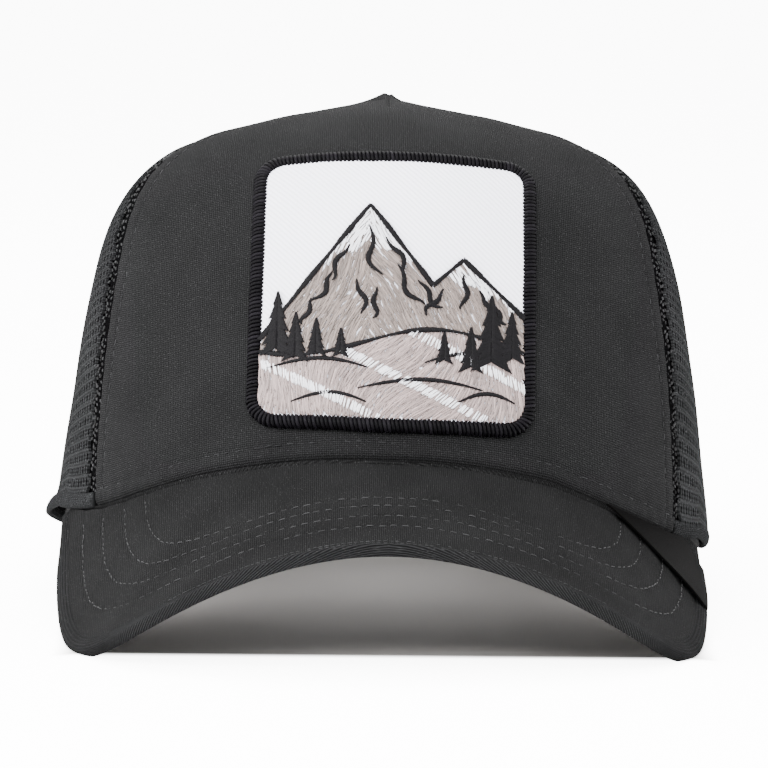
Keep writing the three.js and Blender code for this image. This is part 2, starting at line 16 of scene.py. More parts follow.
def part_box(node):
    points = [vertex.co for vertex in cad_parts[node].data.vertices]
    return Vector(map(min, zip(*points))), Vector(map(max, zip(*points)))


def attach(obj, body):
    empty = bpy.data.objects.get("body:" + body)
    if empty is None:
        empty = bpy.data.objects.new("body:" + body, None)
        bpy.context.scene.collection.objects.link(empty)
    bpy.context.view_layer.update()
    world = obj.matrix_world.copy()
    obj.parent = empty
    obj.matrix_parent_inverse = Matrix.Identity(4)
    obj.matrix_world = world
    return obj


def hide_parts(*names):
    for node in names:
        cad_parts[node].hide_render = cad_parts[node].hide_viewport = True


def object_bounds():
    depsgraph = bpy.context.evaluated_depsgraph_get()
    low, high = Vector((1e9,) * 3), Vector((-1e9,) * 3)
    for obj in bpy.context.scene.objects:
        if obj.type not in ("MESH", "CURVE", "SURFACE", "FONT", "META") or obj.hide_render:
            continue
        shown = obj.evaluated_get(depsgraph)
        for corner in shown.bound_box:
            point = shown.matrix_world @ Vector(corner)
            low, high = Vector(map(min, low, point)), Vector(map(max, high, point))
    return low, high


bl_info = {
    "name": "Trucker Hat",
    "version": (1, 0, 0),
    "blender": (4, 5, 0),
    "location": "View3D > Sidebar > Hat",
    "description": "Models and finishes a trucker hat round its packed frame",
    "category": "Object",
}

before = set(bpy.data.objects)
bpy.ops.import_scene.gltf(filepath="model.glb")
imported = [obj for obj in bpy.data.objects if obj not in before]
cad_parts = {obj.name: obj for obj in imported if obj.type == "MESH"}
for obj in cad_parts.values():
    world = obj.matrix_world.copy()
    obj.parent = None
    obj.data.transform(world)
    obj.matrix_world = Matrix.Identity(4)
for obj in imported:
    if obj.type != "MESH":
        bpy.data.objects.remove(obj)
cad_low, cad_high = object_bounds()

MM = 0.001
BODY = "root"
UV_NAME = "cloth"
TONE_NAME = "tone"

# Head opening and crown
HALF_WIDTH = 87 * MM
FRONT_REACH = 98 * MM
BACK_REACH = 100 * MM
APEX_Y = -20 * MM
CROWN_HEIGHT = 110.3 * MM
SEAM_FRONT = 59.2
SEAM_LEAN = 3.7
SEAM_LEAN_RISE = 0.3
SEAM_SIDE = 120
REAR = 180

# The crown's upright curves, one row for every 30 degrees from the front to the rear:
# height of the wall's pull, its inward lean, reach of the top's pull, the top's fall in degrees
ROW_STEP = 30
CROWN_ROWS = np.array((
    (80 * MM, 8, 0.91, 10),
    (88 * MM, 6, 0.85, 12),
    (102 * MM, 0, 0.94, 15),
    (56 * MM, 7.3, 0.72, 15.5),
    (58 * MM, 7, 0.75, 14),
    (58 * MM, 5, 0.72, 12),
    (58 * MM, 4, 0.70, 11),
))

# Cloth of the front panel: its turned edges, the width over which they turn, and its stitching
FRONT_CLOTH = 2.6 * MM
CLEARANCE = 0.3 * MM
TIP_RADIUS = 6.2 * MM
SIDE_TURN = 0.9 * MM
HEM_TURN = 1.8 * MM
TURN_WIDTH = 1.5 * MM
SEAM_STITCH = 5 * MM
HEM_STITCH = 4.7 * MM
STITCH_SINK = 0.28 * MM
STITCH_SINK_WIDTH = 0.6 * MM

# Net: its folded hem, the folds along its seams and the net turned in behind the front seams
HEM_BAND = 8 * MM
HEM_FLARE = 1.6 * MM
HEM_ROLL = 4.3 * MM
HEM_ROLL_DEPTH = 1.2 * MM
HEM_ROLL_INSET = 0.3 * MM
HEM_ROLL_TUCK = 0.8 * MM
SEAM_FOLD = 0.75 * MM
SEAM_FOLD_INSET = 0.4 * MM
SEAM_STRIP = 3.6 * MM
SEAM_TURNING = 9 * MM
SEAM_UNDER = 1.9 * MM
SEAM_TURNING_THICK = 0.5 * MM
BESIDE_STITCH = 3.4 * MM
CHAIN_OFFSETS = (0.7 * MM, 1.9 * MM, 3.0 * MM)
CHAIN_INSET = 0.62 * MM

# Dart folded into the top of the front panel
DART_LENGTH = 25 * MM
DART_RISE = 1.7 * MM
DART_X = 0.8 * MM
DART_SOFT = 5 * MM
DART_STEEP = 1.6 * MM
TIP_CAP_RADIUS = 6.9 * MM
TIP_CAP_THICK = 1.2 * MM

# Visor
VISOR_RISE = 7.7 * MM
VISOR_SLOPE = math.radians(25)
VISOR_END_ANGLE = 72
VISOR_HALF_WIDTH = 82.5 * MM
VISOR_TIP_Y = -152 * MM
VISOR_ROOT_ASIDE = 1.0 * MM
VISOR_SQUARENESS = 3.4
BEND_AT_ENDS = 107 * MM
BEND_AT_TIP = 80 * MM
TIP_OPENS = 4.7 * MM
TIP_LIFT = 0.7 * MM
VISOR_THICK = 2.2 * MM
VISOR_TUCK = 0.8 * MM
BINDING_THICK = 2.8 * MM
BINDING_WIDTH = 4.2 * MM
BINDING_THIN = 1.6 * MM
BINDING_PROUD = 0.2 * MM
CORE_END_ANGLE = 68
CORE_END = 0.9895
BINDING_END = 0.994
ENDS_FROM = 0.925
ENDS_WIDTH = 0.05
ROOT_GROOVE = 1.9 * MM

# Cloth folded round the visor's rim: the rim's length, the fold's width on top at the tip and the
# sides, the share of the rim over which it widens, and where its slanting ribs fade
RIM_LENGTH = 400 * MM
FOLD_AT_TIP = 1.3 * MM
FOLD_AT_SIDES = 2.5 * MM
FOLD_WIDENS = 0.35
RIBS_END = 0.42
RIBS_FADE = 0.12
FOLD_CLOTH = 0.4 * MM

# Rows of stitching on the visor: how far each reaches forward and to the side, and its squareness
VISOR_ROWS = (
    (-120.1 * MM, 60.4 * MM, 4.4),
    (-125.2 * MM, 65.5 * MM, 4.2),
    (-131.6 * MM, 71.2 * MM, 3.7),
    (-138.1 * MM, 76.2 * MM, 3.5),
)
ROW_ROOT_Y = -40 * MM
EDGE_ROWS = (2.0 * MM, 3.3 * MM)
EDGE_ROW_END = 0.33

# Rear opening, strap and sweatband
ARCH_HALF_WIDTH = 36 * MM
ARCH_HEIGHT = 48 * MM
ARCH_TAPE = 7 * MM
ARCH_TAPE_THICK = 2.4 * MM
ARCH_SEAM_ANGLE = 150.4
STRAP_HEIGHT = 19 * MM
STRAP_THICK = 2 * MM
STRAP_INSET = 2.8 * MM
STRAP_DROP = 0.6 * MM
STRAP_ANGLE = 146
BAND_HEIGHT = 32 * MM
BAND_THICK = 1.5 * MM
BAND_INSET = 2.9 * MM
BAND_ANGLE = 142.5
BAND_FOOT = 0.5 * MM
SETTLE = 0.4 * MM
FLOOR_GIVE = 0.5 * MM

# The opening hangs a little higher on the wearer's right and lower on the left: places across and
# their lift, then how far forward, up and back the lift fades
UNEVEN_X = np.array((-90, -75, -62, -48, -20, 0, 42, 57, 67, 75, 84, 95)) * MM
UNEVEN_LIFT = np.array((0.4, 1.0, 2.0, 2.3, 1.0, 0, 0, -2.1, -3.5, -5.0, -6.5, -7.0)) * MM
UNEVEN_REACH = 26 * MM
UNEVEN_HEIGHT = 34 * MM
UNEVEN_BEHIND = 55 * MM

# Patch, measured along the cloth from its centre
PATCH_HALF_WIDTH = 35.5 * MM
PATCH_HALF_HEIGHT = 37.9 * MM
PATCH_FOOT = 7.3 * MM
PATCH_X = 1.4 * MM
PATCH_TURN = math.radians(0.8)
PATCH_TAPER = 0.008
PATCH_DROOP = 1.6 * MM
PATCH_CORNER = 7.6 * MM
BORDER_WIDTH = 3.6 * MM
BORDER_THICK = 2.6 * MM
BORDER_STEPS = 600
WRAP_SLANT = 1.1 * MM
GROUND_THICK = 1.3 * MM
FIELD_HALF_WIDTH = PATCH_HALF_WIDTH - BORDER_WIDTH + 0.4 * MM
FIELD_HALF_HEIGHT = PATCH_HALF_HEIGHT - BORDER_WIDTH + 0.4 * MM
FIELD_CORNER = PATCH_CORNER - BORDER_WIDTH + 0.4 * MM
THREAD_FOOT = CLEARANCE + GROUND_THICK

# Scene on the patch, in millimetres from its centre
# dark streaks on the slopes: start across and up, length, heading in radians
STREAKS = (
    (-6, 15, 13, -1.45), (-2, 12, 11, -1.0), (-11, 10, 10, -2.1), (-15, 3, 9, -2.0),
    (1, 5, 12, -1.15), (6, 1, 9, -0.9), (17, 3, 9, -1.5), (21, -1, 8, -1.0),
    (12, -1, 8, -2.1), (-9, 1, 9, -1.3), (-20, -4, 7, -1.8), (-4, -1, 8, -1.7), (25, -5, 5, -1.1),
)
# folds of the hills: start across and up, length
FOLDS = ((-30, -22, 24), (-8, -27, 30), (8, -20, 20), (-24, -31, 18), (16, -30, 14))
# firs: place across, height of the tree, place of its foot
FIRS = (
    (-28, 15, -17), (-23.5, 11, -18.5), (-18.5, 8.5, -17.5), (24, 17, -19), (29, 12, -18),
    (19, 10, -20.5), (12.5, 7, -19), (-12.5, 6.5, -18),
)

# Ribbon label folded over the visor on the wearer's left
# its ends at the crown in degrees, and at the rim in shares of the rim's half
LABEL_THICK = 0.5 * MM
LABEL_LIFT = 0.3 * MM
LABEL_SEAM = (40, 62)
LABEL_SEAM_GAP = 0.2 * MM
LABEL_RIM = (78.2 / 90, 87.2 / 90)
LABEL_RIM_INSET = 0.6 * MM

# Stage: the floor's side, the part of it under the hat that is painted darker as a shadow, and where the
# camera looks
FLOOR_SIZE = 60
PAINTED_SHADOW_HALF_WIDTH = 75 * MM
PAINTED_SHADOW_FRONT = 88 * MM
PAINTED_SHADOW_BACK = 100 * MM
PAINTED_SHADOW_EDGE = 8 * MM
AIM_BEHIND_MIDDLE = 26.1 * MM
SENSOR_WIDTH = 36


# The hat's shape

def smooth(t):
    held = np.clip(t, 0, 1)
    return held * held * (3 - 2 * held)


def bump(distance, width):
    return np.exp(-((distance / width) ** 2))


def unit(vectors):
    return vectors / np.maximum(np.linalg.norm(vectors, axis=-1, keepdims=True), 1e-12)


def solve(value, wanted, low, high, steps=26):
    """Where a value that rises or falls steadily between low and high reaches what is wanted."""
    wanted = np.asarray(wanted, float)
    low = np.full(wanted.shape, float(low))
    high = np.full(wanted.shape, float(high))
    rising = value(high) > value(low)
    for _ in range(steps):
        middle = (low + high) / 2
        below = (value(middle) < wanted) == rising
        low = np.where(below, middle, low)
        high = np.where(below, high, middle)
    return (low + high) / 2


def distances(points):
    """How far along a line each of its points lies."""
    steps = np.linalg.norm(np.diff(points, axis=0), axis=1)
    return np.concatenate(((0,), np.cumsum(steps)))


def along_line(values, distance, places):
    """A line's values at places along it, found between its points."""
    return np.stack([np.interp(places, distance, values[:, axis]) for axis in range(values.shape[1])], -1)


def opening(angle):
    """The head opening's outline in plan."""
    turn = np.radians(angle)
    reach = np.where(np.cos(turn) > 0, FRONT_REACH, BACK_REACH)
    return np.stack((HALF_WIDTH * np.sin(turn), -reach * np.cos(turn)), -1)


END_Y = float(opening(VISOR_END_ANGLE)[1])


def visor_top(plan):
    """Height of the visor's upper face, bent across and more so at its tip, from places in plan."""
    x, y = plan[..., 0], plan[..., 1]
    outward = (y - END_Y) / (VISOR_TIP_Y - END_Y)
    ahead = np.maximum((y + FRONT_REACH) / (VISOR_TIP_Y + FRONT_REACH), 0) ** 2
    bend = BEND_AT_ENDS + (BEND_AT_TIP - BEND_AT_ENDS) * outward + TIP_OPENS * ahead
    drop = bend - np.sqrt(np.maximum(bend * bend - x * x, 0))
    return VISOR_RISE + (y + FRONT_REACH) * math.tan(VISOR_SLOPE) - drop + TIP_LIFT * ahead


def hem_height(angle):
    """Height of the crown's hem: on the visor in front, falling to the rear hem's level."""
    size = np.abs(angle)
    foot = opening(np.minimum(size, VISOR_END_ANGLE))
    fade = smooth((size - VISOR_END_ANGLE) / (SEAM_SIDE - VISOR_END_ANGLE))
    return (visor_top(foot) + CLEARANCE) * (1 - fade)


def crown_row(angle):
    """The table's values at any angle, passing smoothly through its rows."""
    last = len(CROWN_ROWS) - 1
    place_in_table = np.minimum(np.abs(angle), REAR) / ROW_STEP
    first = np.minimum(np.floor(place_in_table), last - 1).astype(int)
    t = (place_in_table - first)[..., None]

    def row(index):
        return CROWN_ROWS[last - np.abs(last - np.abs(index))]

    a, b, c, d = (row(first + step) for step in (-1, 0, 1, 2))
    bend = (2 * a - 5 * b + 4 * c - d) * t**2 + (3 * b - a - 3 * c + d) * t**3
    return (2 * b + (c - a) * t + bend) / 2


def crown(angle, rise):
    """Points of the crown: rise is 0 at the hem and 1 at the apex."""
    angle, rise = np.broadcast_arrays(np.asarray(angle, float), np.asarray(rise, float))
    straight, lean, flat, slope = np.moveaxis(crown_row(angle), -1, 0)
    foot = opening(angle)
    inward = np.array((0, APEX_Y)) - foot
    length = np.linalg.norm(inward, axis=-1)
    pull = flat * length
    insets = (0, straight * np.tan(np.radians(lean)), length - pull, length)
    fall = pull * np.tan(np.radians(slope))
    heights = (hem_height(angle), straight, CROWN_HEIGHT - fall, CROWN_HEIGHT)
    left = 1 - rise
    weights = (left**3, 3 * left**2 * rise, 3 * left * rise**2, rise**3)
    inset = sum(weight * value for weight, value in zip(weights, insets)) / length
    height = sum(weight * value for weight, value in zip(weights, heights))
    return np.concatenate((foot + inward * inset[..., None], height[..., None]), -1)


def crown_normal(angle, rise):
    held = np.clip(rise, 0.002, 0.993)
    around = crown(angle + 0.2, held) - crown(angle - 0.2, held)
    upward = crown(angle, held + 0.002) - crown(angle, held - 0.002)
    return unit(np.cross(around, upward))


def rise_at_height(angle, height):
    angle, height = np.broadcast_arrays(np.asarray(angle, float), np.asarray(height, float))
    return solve(lambda rise: crown(angle, rise)[..., 2], height, 0, 1)


def rise_at_radius(angle, radius):
    """The rise at which the crown comes within a radius of the apex, in plan."""
    angle, radius = np.broadcast_arrays(np.asarray(angle, float), np.asarray(radius, float))

    def reach(rise):
        point = crown(angle, rise)
        return np.hypot(point[..., 0], point[..., 1] - APEX_Y)

    return solve(reach, radius, 0.3, 1)


def degree_length(angle, rise):
    """How long one degree round the crown is, along the cloth."""
    return np.linalg.norm(crown(angle + 0.5, rise) - crown(angle - 0.5, rise), axis=-1)


def seam_angle(seam, rise):
    """A seam's angle as it rises: the front seams lean toward the middle of the front."""
    rise = np.asarray(rise, float)
    if abs(seam) > (SEAM_FRONT + SEAM_SIDE) / 2:
        return np.full(rise.shape, float(seam))
    return seam - math.copysign(SEAM_LEAN, seam) * smooth(rise / SEAM_LEAN_RISE)


def crown_at(x, height, behind=False):
    """Places on the crown, in front or behind, found by x and height: angle and rise."""
    x, height = np.broadcast_arrays(np.asarray(x, float), np.asarray(height, float))

    def angle_of(size):
        return REAR - size if behind else size

    def reach(size):
        angle = angle_of(size)
        return crown(angle, rise_at_height(angle, height))[..., 0]

    angle = angle_of(solve(reach, np.abs(x), 0, 80, steps=20))
    angle = np.where(x < 0, -angle, angle)
    return angle, rise_at_height(angle, height)


def rim_edge(t):
    """The visor's outline in plan, a squared half-round; t runs as in rim."""
    size = np.minimum(np.abs(t), 1)
    turn = size * math.pi / 2
    power = 2 / VISOR_SQUARENESS
    x = VISOR_HALF_WIDTH * np.sin(turn) ** power * np.sign(t)
    y = END_Y + (VISOR_TIP_Y - END_Y) * np.maximum(np.cos(turn), 0) ** power
    return np.stack((x, y), -1)


def rim(t, inset=0.0):
    """The visor's outer edge in plan, moved inward; t runs from -1 through 0 at the tip to 1."""
    t = np.asarray(t, float)
    along = unit(rim_edge(t + 0.004) - rim_edge(t - 0.004))
    inward = np.stack((-along[..., 1], along[..., 0]), -1)
    return rim_edge(t) + inward * np.asarray(inset, float)[..., None]


def root(angle, tuck=VISOR_TUCK):
    """The visor's inner edge in plan."""
    foot = opening(np.asarray(angle, float))
    return foot * (1 - tuck / np.linalg.norm(foot, axis=-1, keepdims=True))


def visor(plan, depth=0.0):
    """Points at a depth under the visor's upper face, from places in plan; its root lies a little aside."""
    step = 0.1 * MM
    right = np.array((step, 0))
    ahead = np.array((0, step))

    def face(places):
        return np.concatenate((places, visor_top(places)[..., None]), -1)

    normal = unit(np.cross(face(plan + right) - face(plan - right), face(plan + ahead) - face(plan - ahead)))
    placed = face(plan) - normal * np.asarray(depth, float)[..., None]
    outward = np.clip((placed[..., 1] - END_Y) / (VISOR_TIP_Y - END_Y), 0, 1)
    placed[..., 0] -= VISOR_ROOT_ASIDE * (1 - outward)
    return placed


def resting_place():
    """The turn and the shift that bring the hat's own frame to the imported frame."""
    pivot_y, pivot_z = BACK_REACH - STRAP_INSET, -STRAP_DROP
    around = np.linspace(0, 0.9, 91)
    underside = ((0.2 * MM, VISOR_THICK - 0.4 * MM), (1.2 * MM, (VISOR_THICK + BINDING_THICK) / 2))
    low = np.concatenate([visor(rim(around, inset), depth) for inset, depth in underside])
    lean = np.arctan2(pivot_z - low[:, 2], pivot_y - low[:, 1]).max()
    across = math.cos(lean)
    upward = math.sin(lean)
    turn = np.array(((1, 0, 0), (0, across, upward), (0, -upward, across)))
    pivot = np.array((0, pivot_y, pivot_z))
    shift = np.array((0, pivot_y, -SETTLE)) - turn @ pivot
    section = ((1.2 * MM, -0.3 * MM), (0.2 * MM, 0.4 * MM), (0.0, VISOR_THICK / 2))
    tip_y = min((turn @ visor(rim(0.0, inset), depth))[1] for inset, depth in section)
    shift[1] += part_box("visor_binding")[0][1] - tip_y - shift[1]
    return turn, shift


REST_TURN, REST_SHIFT = resting_place()


def uneven(points):
    """How far the cloth round the front of the opening lies above its even shape, by its place."""
    x, y, z = np.moveaxis(points, -1, 0)
    lift = np.interp(x, UNEVEN_X, UNEVEN_LIFT)
    ahead = np.hypot(x / HALF_WIDTH, y / FRONT_REACH) - 1
    beside = 1 - smooth(ahead * HALF_WIDTH / UNEVEN_REACH)
    above = z - hem_height(np.degrees(np.arctan2(x / HALF_WIDTH, -y / FRONT_REACH)))
    return lift * beside * (1 - smooth(above / UNEVEN_HEIGHT)) * (1 - smooth(y / UNEVEN_BEHIND))


def rest(points):
    """Points brought from the hat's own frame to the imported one, flat where they meet the floor."""
    placed = points.copy()
    placed[..., 2] += uneven(points)
    placed = placed @ REST_TURN.T + REST_SHIFT
    height = placed[..., 2]
    placed[..., 2] = (height + np.hypot(height, FLOOR_GIVE)) / 2
    return placed


def patch_table():
    """The front of the crown as a net of places: along x, and along the cloth up from the patch's foot."""
    columns = np.linspace(-42, 42, 43) * MM
    low = float(visor_top(np.array((0, -FRONT_REACH)))) + PATCH_FOOT
    heights = np.linspace(low - 3 * MM, CROWN_HEIGHT - 2.6 * MM, 70)
    angle, rise = crown_at(columns[:, None], heights[None, :])
    points = crown(angle, rise)
    steps = np.linalg.norm(np.diff(points, axis=1), axis=-1)
    lengths = np.concatenate((np.zeros((len(columns), 1)), np.cumsum(steps, axis=1)), axis=1)
    wanted = np.linspace(-2, 84, 60) * MM
    places = np.empty((len(columns), len(wanted), 3))
    for row, length in enumerate(lengths):
        start = np.interp(low, points[row, :, 2], length)
        for axis in range(3):
            places[row, :, axis] = np.interp(wanted + start, length, points[row, :, axis])
    return columns, wanted, places


PATCH_COLUMNS, PATCH_LENGTHS, PATCH_PLACES = patch_table()


def patch_cloth(x, length):
    """Points of the crown under the patch, from x and the length along the cloth, read from the net."""
    def place_in(values, steps):
        spot = np.clip((values - steps[0]) / (steps[1] - steps[0]), 0, len(steps) - 1.001)
        first = spot.astype(int)
        return first, (spot - first)[..., None]

    column, across = place_in(x, PATCH_COLUMNS)
    row, upward = place_in(length, PATCH_LENGTHS)
    low = PATCH_PLACES[column, row] * (1 - across) + PATCH_PLACES[column + 1, row] * across
    high = PATCH_PLACES[column, row + 1] * (1 - across) + PATCH_PLACES[column + 1, row + 1] * across
    return low * (1 - upward) + high * upward


def on_patch(flat, out):
    """Points standing out from the cloth, from places on the flat patch measured from its centre."""
    across = flat[..., 0] * (1 - PATCH_TAPER * flat[..., 1] / PATCH_HALF_HEIGHT)
    x = PATCH_X + across * math.cos(PATCH_TURN) + flat[..., 1] * math.sin(PATCH_TURN)
    droop = PATCH_DROOP * (across / PATCH_HALF_WIDTH) ** 4 * np.clip(flat[..., 1] / PATCH_HALF_HEIGHT, 0, 1)
    length = PATCH_HALF_HEIGHT - across * math.sin(PATCH_TURN) + flat[..., 1] * math.cos(PATCH_TURN) - droop
    step = 1.5 * MM
    across = patch_cloth(x + step, length) - patch_cloth(x - step, length)
    upward = patch_cloth(x, length + step) - patch_cloth(x, length - step)
    normal = unit(np.cross(across, upward))
    return patch_cloth(x, length) + normal * np.asarray(out)[..., None]


def round_rectangle(half_width, half_height, corner, count):
    """A rounded rectangle's outline, evenly spaced, with its outward direction at each point."""
    straight_x = 2 * (half_width - corner)
    straight_y = 2 * (half_height - corner)
    quarter = corner * math.pi / 2
    sides = (straight_y, quarter, straight_x, quarter, straight_y, quarter, straight_x, quarter)
    starts = np.concatenate(((0,), np.cumsum(sides)))
    corners = ((1, -1), (1, 1), (-1, 1), (-1, -1))
    points = []
    outward = []
    for length in np.linspace(0, starts[-1], count, endpoint=False):
        side = int(np.searchsorted(starts, length, side="right")) - 1
        along = length - starts[side]
        number = side // 2
        heading = number * math.pi / 2
        if side % 2:
            centre = corners[(number + 1) % 4]
            turn = heading + along / corner
        else:
            centre = corners[number]
            turn = heading
        point = np.array(centre, float) * (half_width - corner, half_height - corner)
        if side % 2 == 0:
            point += along * np.array((-math.sin(heading), math.cos(heading)))
        direction = np.array((math.cos(turn), math.sin(turn)))
        points.append(point + direction * corner)
        outward.append(direction)
    return np.array(points), np.array(outward), starts[-1]


# Making meshes

def deselect():
    bpy.ops.object.select_all(action="DESELECT")


def select_only(piece):
    deselect()
    piece.select_set(True)
    bpy.context.view_layer.objects.active = piece


def read_points(piece):
    points = np.empty(len(piece.data.vertices) * 3)
    piece.data.vertices.foreach_get("co", points)
    return points.reshape(-1, 3)


def write_points(piece, points):
    piece.data.vertices.foreach_set("co", np.ascontiguousarray(points, float).ravel())
    piece.data.update()


def write_cloth_lengths(piece, lengths):
    """Keep each point's place on the flat cloth, in metres, as the UV map that weaves follow."""
    layers = piece.data.uv_layers
    layer = layers[0] if len(layers) else layers.new()
    layer.name = UV_NAME
    corners = np.empty(len(piece.data.loops), dtype=np.int32)
    piece.data.loops.foreach_get("vertex_index", corners)
    layer.data.foreach_set("uv", np.ascontiguousarray(lengths[corners], float).ravel())


def write_tone(piece, tones):
    layer = piece.data.attributes.new(TONE_NAME, "FLOAT", "POINT")
    layer.data.foreach_set("value", np.ascontiguousarray(tones, float))


def add_grid(name, columns, rows):
    """A flat grid whose places run from 0 to 1 across and up, ready to be shaped."""
    deselect()
    bpy.ops.mesh.primitive_grid_add(x_subdivisions=columns, y_subdivisions=rows, size=1)
    piece = bpy.context.object
    piece.name = name
    piece.data.name = name
    flat = read_points(piece) + 0.5
    return piece, np.clip(flat[:, 0], 0, 1), np.clip(flat[:, 1], 0, 1)


def crowd_ends(t, amount=0.6):
    """Spacing that is closer at both ends, where seams need finer cloth."""
    return t - amount * np.sin(2 * math.pi * t) / (2 * math.pi)


def apply_modifiers(piece):
    select_only(piece)
    for modifier in list(piece.modifiers):
        bpy.ops.object.modifier_apply(modifier=modifier.name)


def thicken(piece, thickness, offset=-1.0):
    select_only(piece)
    bpy.ops.object.modifier_add(type="SOLIDIFY")
    wall = piece.modifiers[-1]
    wall.thickness = thickness
    wall.offset = offset
    apply_modifiers(piece)


def edit(piece, *steps):
    """Run edit-mode steps on a whole piece."""
    select_only(piece)
    bpy.ops.object.mode_set(mode="EDIT")
    bpy.ops.mesh.select_mode(type="VERT")
    bpy.ops.mesh.select_all(action="SELECT")
    for step in steps:
        step()
    bpy.ops.object.mode_set(mode="OBJECT")


def merge_doubles(distance=0.01 * MM):
    bpy.ops.mesh.remove_doubles(threshold=distance)


def select_mesh():
    bpy.ops.mesh.select_all(action="SELECT")


def face_outward():
    bpy.ops.mesh.normals_make_consistent(inside=False)


def fill_ends():
    bpy.ops.mesh.select_all(action="DESELECT")
    bpy.ops.mesh.select_non_manifold(extend=False)
    bpy.ops.mesh.fill_holes(sides=0)


def finish(piece, material, slot, *nodes, angle=50):
    """Smooth a piece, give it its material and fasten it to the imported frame, nowhere below the floor."""
    points = read_points(piece)
    if points[:, 2].min() < 0:
        points[:, 2] = np.maximum(points[:, 2], 0)
        write_points(piece, points)
    select_only(piece)
    bpy.ops.object.shade_smooth_by_angle(angle=math.radians(angle))
    piece.data.materials.clear()
    piece.data.materials.append(material)
    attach(piece, BODY)
    if nodes:
        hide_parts(*nodes)
    deselect()
    return piece


def join(pieces):
    select_only(pieces[0])
    for piece in pieces[1:]:
        piece.select_set(True)
    if len(pieces) > 1:
        bpy.ops.object.join()
    return pieces[0]


def thread_pattern(sides=5):
    """One stitch of thread, modelled once: a round bar along X, cut in three and narrowed at its ends."""
    deselect()
    bpy.ops.mesh.primitive_cylinder_add(
        vertices=sides, radius=0.5, depth=1, end_fill_type="NGON", rotation=(0, math.pi / 2, 0)
    )
    bar = bpy.context.object
    bpy.ops.object.transform_apply(location=True, rotation=True, scale=True)
    bpy.ops.object.mode_set(mode="EDIT")
    for cut in (-0.32, 0.32):
        bpy.ops.mesh.select_all(action="SELECT")
        bpy.ops.mesh.bisect(plane_co=(cut, 0, 0), plane_no=(1, 0, 0))
    bpy.ops.object.mode_set(mode="OBJECT")
    points = read_points(bar)
    ends = np.abs(points[:, 0]) > 0.45
    points[ends, 1:] *= 0.4
    faces = [tuple(face.vertices) for face in bar.data.polygons]
    bpy.data.objects.remove(bar)
    return points, faces


def copies_of(name, pattern_faces, points, tones=None, lengths=None):
    """One mesh that holds many copies of a pattern, each with its own points: copies, points, 3."""
    copies, size = points.shape[:2]
    counts = np.array([len(face) for face in pattern_faces])
    corners = np.concatenate([np.array(face) for face in pattern_faces])
    mesh = bpy.data.meshes.new(name)
    mesh.vertices.add(copies * size)
    mesh.vertices.foreach_set("co", np.ascontiguousarray(points, float).ravel())
    mesh.loops.add(copies * len(corners))
    offsets = (np.arange(copies) * size)[:, None]
    mesh.loops.foreach_set("vertex_index", (corners[None, :] + offsets).astype(np.int32).ravel())
    mesh.polygons.add(copies * len(counts))
    all_counts = np.tile(counts, copies)
    starts = np.concatenate(((0,), np.cumsum(all_counts)[:-1]))
    mesh.polygons.foreach_set("loop_start", starts.astype(np.int32))
    mesh.update(calc_edges=True)
    piece = bpy.data.objects.new(name, mesh)
    bpy.context.collection.objects.link(piece)
    if lengths is not None:
        write_cloth_lengths(piece, lengths.reshape(-1, 2))
    if tones is not None:
        write_tone(piece, np.repeat(tones, size))
    return piece


def lay_threads(name, starts, ends, width, height, surface, foot, tones, arch=0.0):
    """Straight stitches laid on a surface between flat places, each with its own shade."""
    pattern, faces = thread_pattern(4)
    along = pattern[None, :, 0:1] + 0.5
    heading = unit(ends - starts)
    sideways = np.stack((-heading[:, 1], heading[:, 0]), -1)
    flat = starts[:, None, :] * (1 - along) + ends[:, None, :] * along
    flat = flat + sideways[:, None, :] * pattern[None, :, 1:2] * np.reshape(width, (-1, 1, 1))
    foot = np.reshape(foot, (-1, 1))
    lift = foot + (pattern[None, :, 2] + 0.3) * height + arch * (1 - (2 * along[..., 0] - 1) ** 2)
    points = rest(surface(flat, lift))
    size = np.linalg.norm(ends - starts, axis=-1)[:, None]
    lengths = np.stack((along[..., 0] * size, np.broadcast_to(pattern[None, :, 1], lift.shape) * width), -1)
    return copies_of(name, faces, points, tones, lengths)


def stitch_row(points, normals, pitch, length, width, sink, seed):
    """Stitches along a row of points: each copy's points, for copies_of. Each stitch sags at its holes."""
    pattern, _ = thread_pattern()
    distance = distances(points)
    count = max(int(distance[-1] / pitch), 1)
    chance = np.random.default_rng(seed)
    middles = (np.arange(count) + 0.5) * distance[-1] / count + chance.normal(0, 0.05, count) * pitch
    sizes = length * (1 + chance.normal(0, 0.07, count))
    start = along_line(points, distance, middles - sizes / 2)
    end = along_line(points, distance, middles + sizes / 2)
    middle = along_line(points, distance, middles)
    normal = unit(along_line(normals, distance, middles))
    side = unit(np.cross(normal, end - start)) * chance.normal(1, 0.08, count)[:, None]
    buried = np.abs(chance.normal(0, 0.6, count))[:, None, None] * width
    aside = chance.normal(0, 0.4, (count, 1, 1)) * width
    slant = chance.normal(0, 0.35, (count, 1, 1)) * width
    along = pattern[None, :, 0:1] + 0.5
    bend = (middle - (start + end) / 2)[:, None, :] * (1 - (2 * along - 1) ** 2)
    laid = start[:, None, :] * (1 - along) + end[:, None, :] * along + bend
    laid = laid + side[:, None, :] * (pattern[None, :, 1:2] * width + aside + slant * (2 * along - 1))
    dip = sink * (2 * np.abs(along - 0.5)) ** 3
    return laid + normal[:, None, :] * (pattern[None, :, 2:3] * width + width * 0.3 - dip - buried)


def stitches(name, rows, material, slot):
    _, faces = thread_pattern()
    points = np.concatenate(rows)
    piece = copies_of(name, faces, points, np.random.default_rng(5).random(len(points)))
    return finish(piece, material, slot, angle=80)


# Materials

def put(tree, kind, inputs=None, **settings):
    """Add a node, with its settings, and its inputs either set or linked."""
    node = tree.nodes.new(kind)
    for name, value in settings.items():
        setattr(node, name, value)
    for name, value in (inputs or {}).items():
        if isinstance(value, bpy.types.NodeSocket):
            tree.links.new(value, node.inputs[name])
        else:
            node.inputs[name].default_value = value
    return node


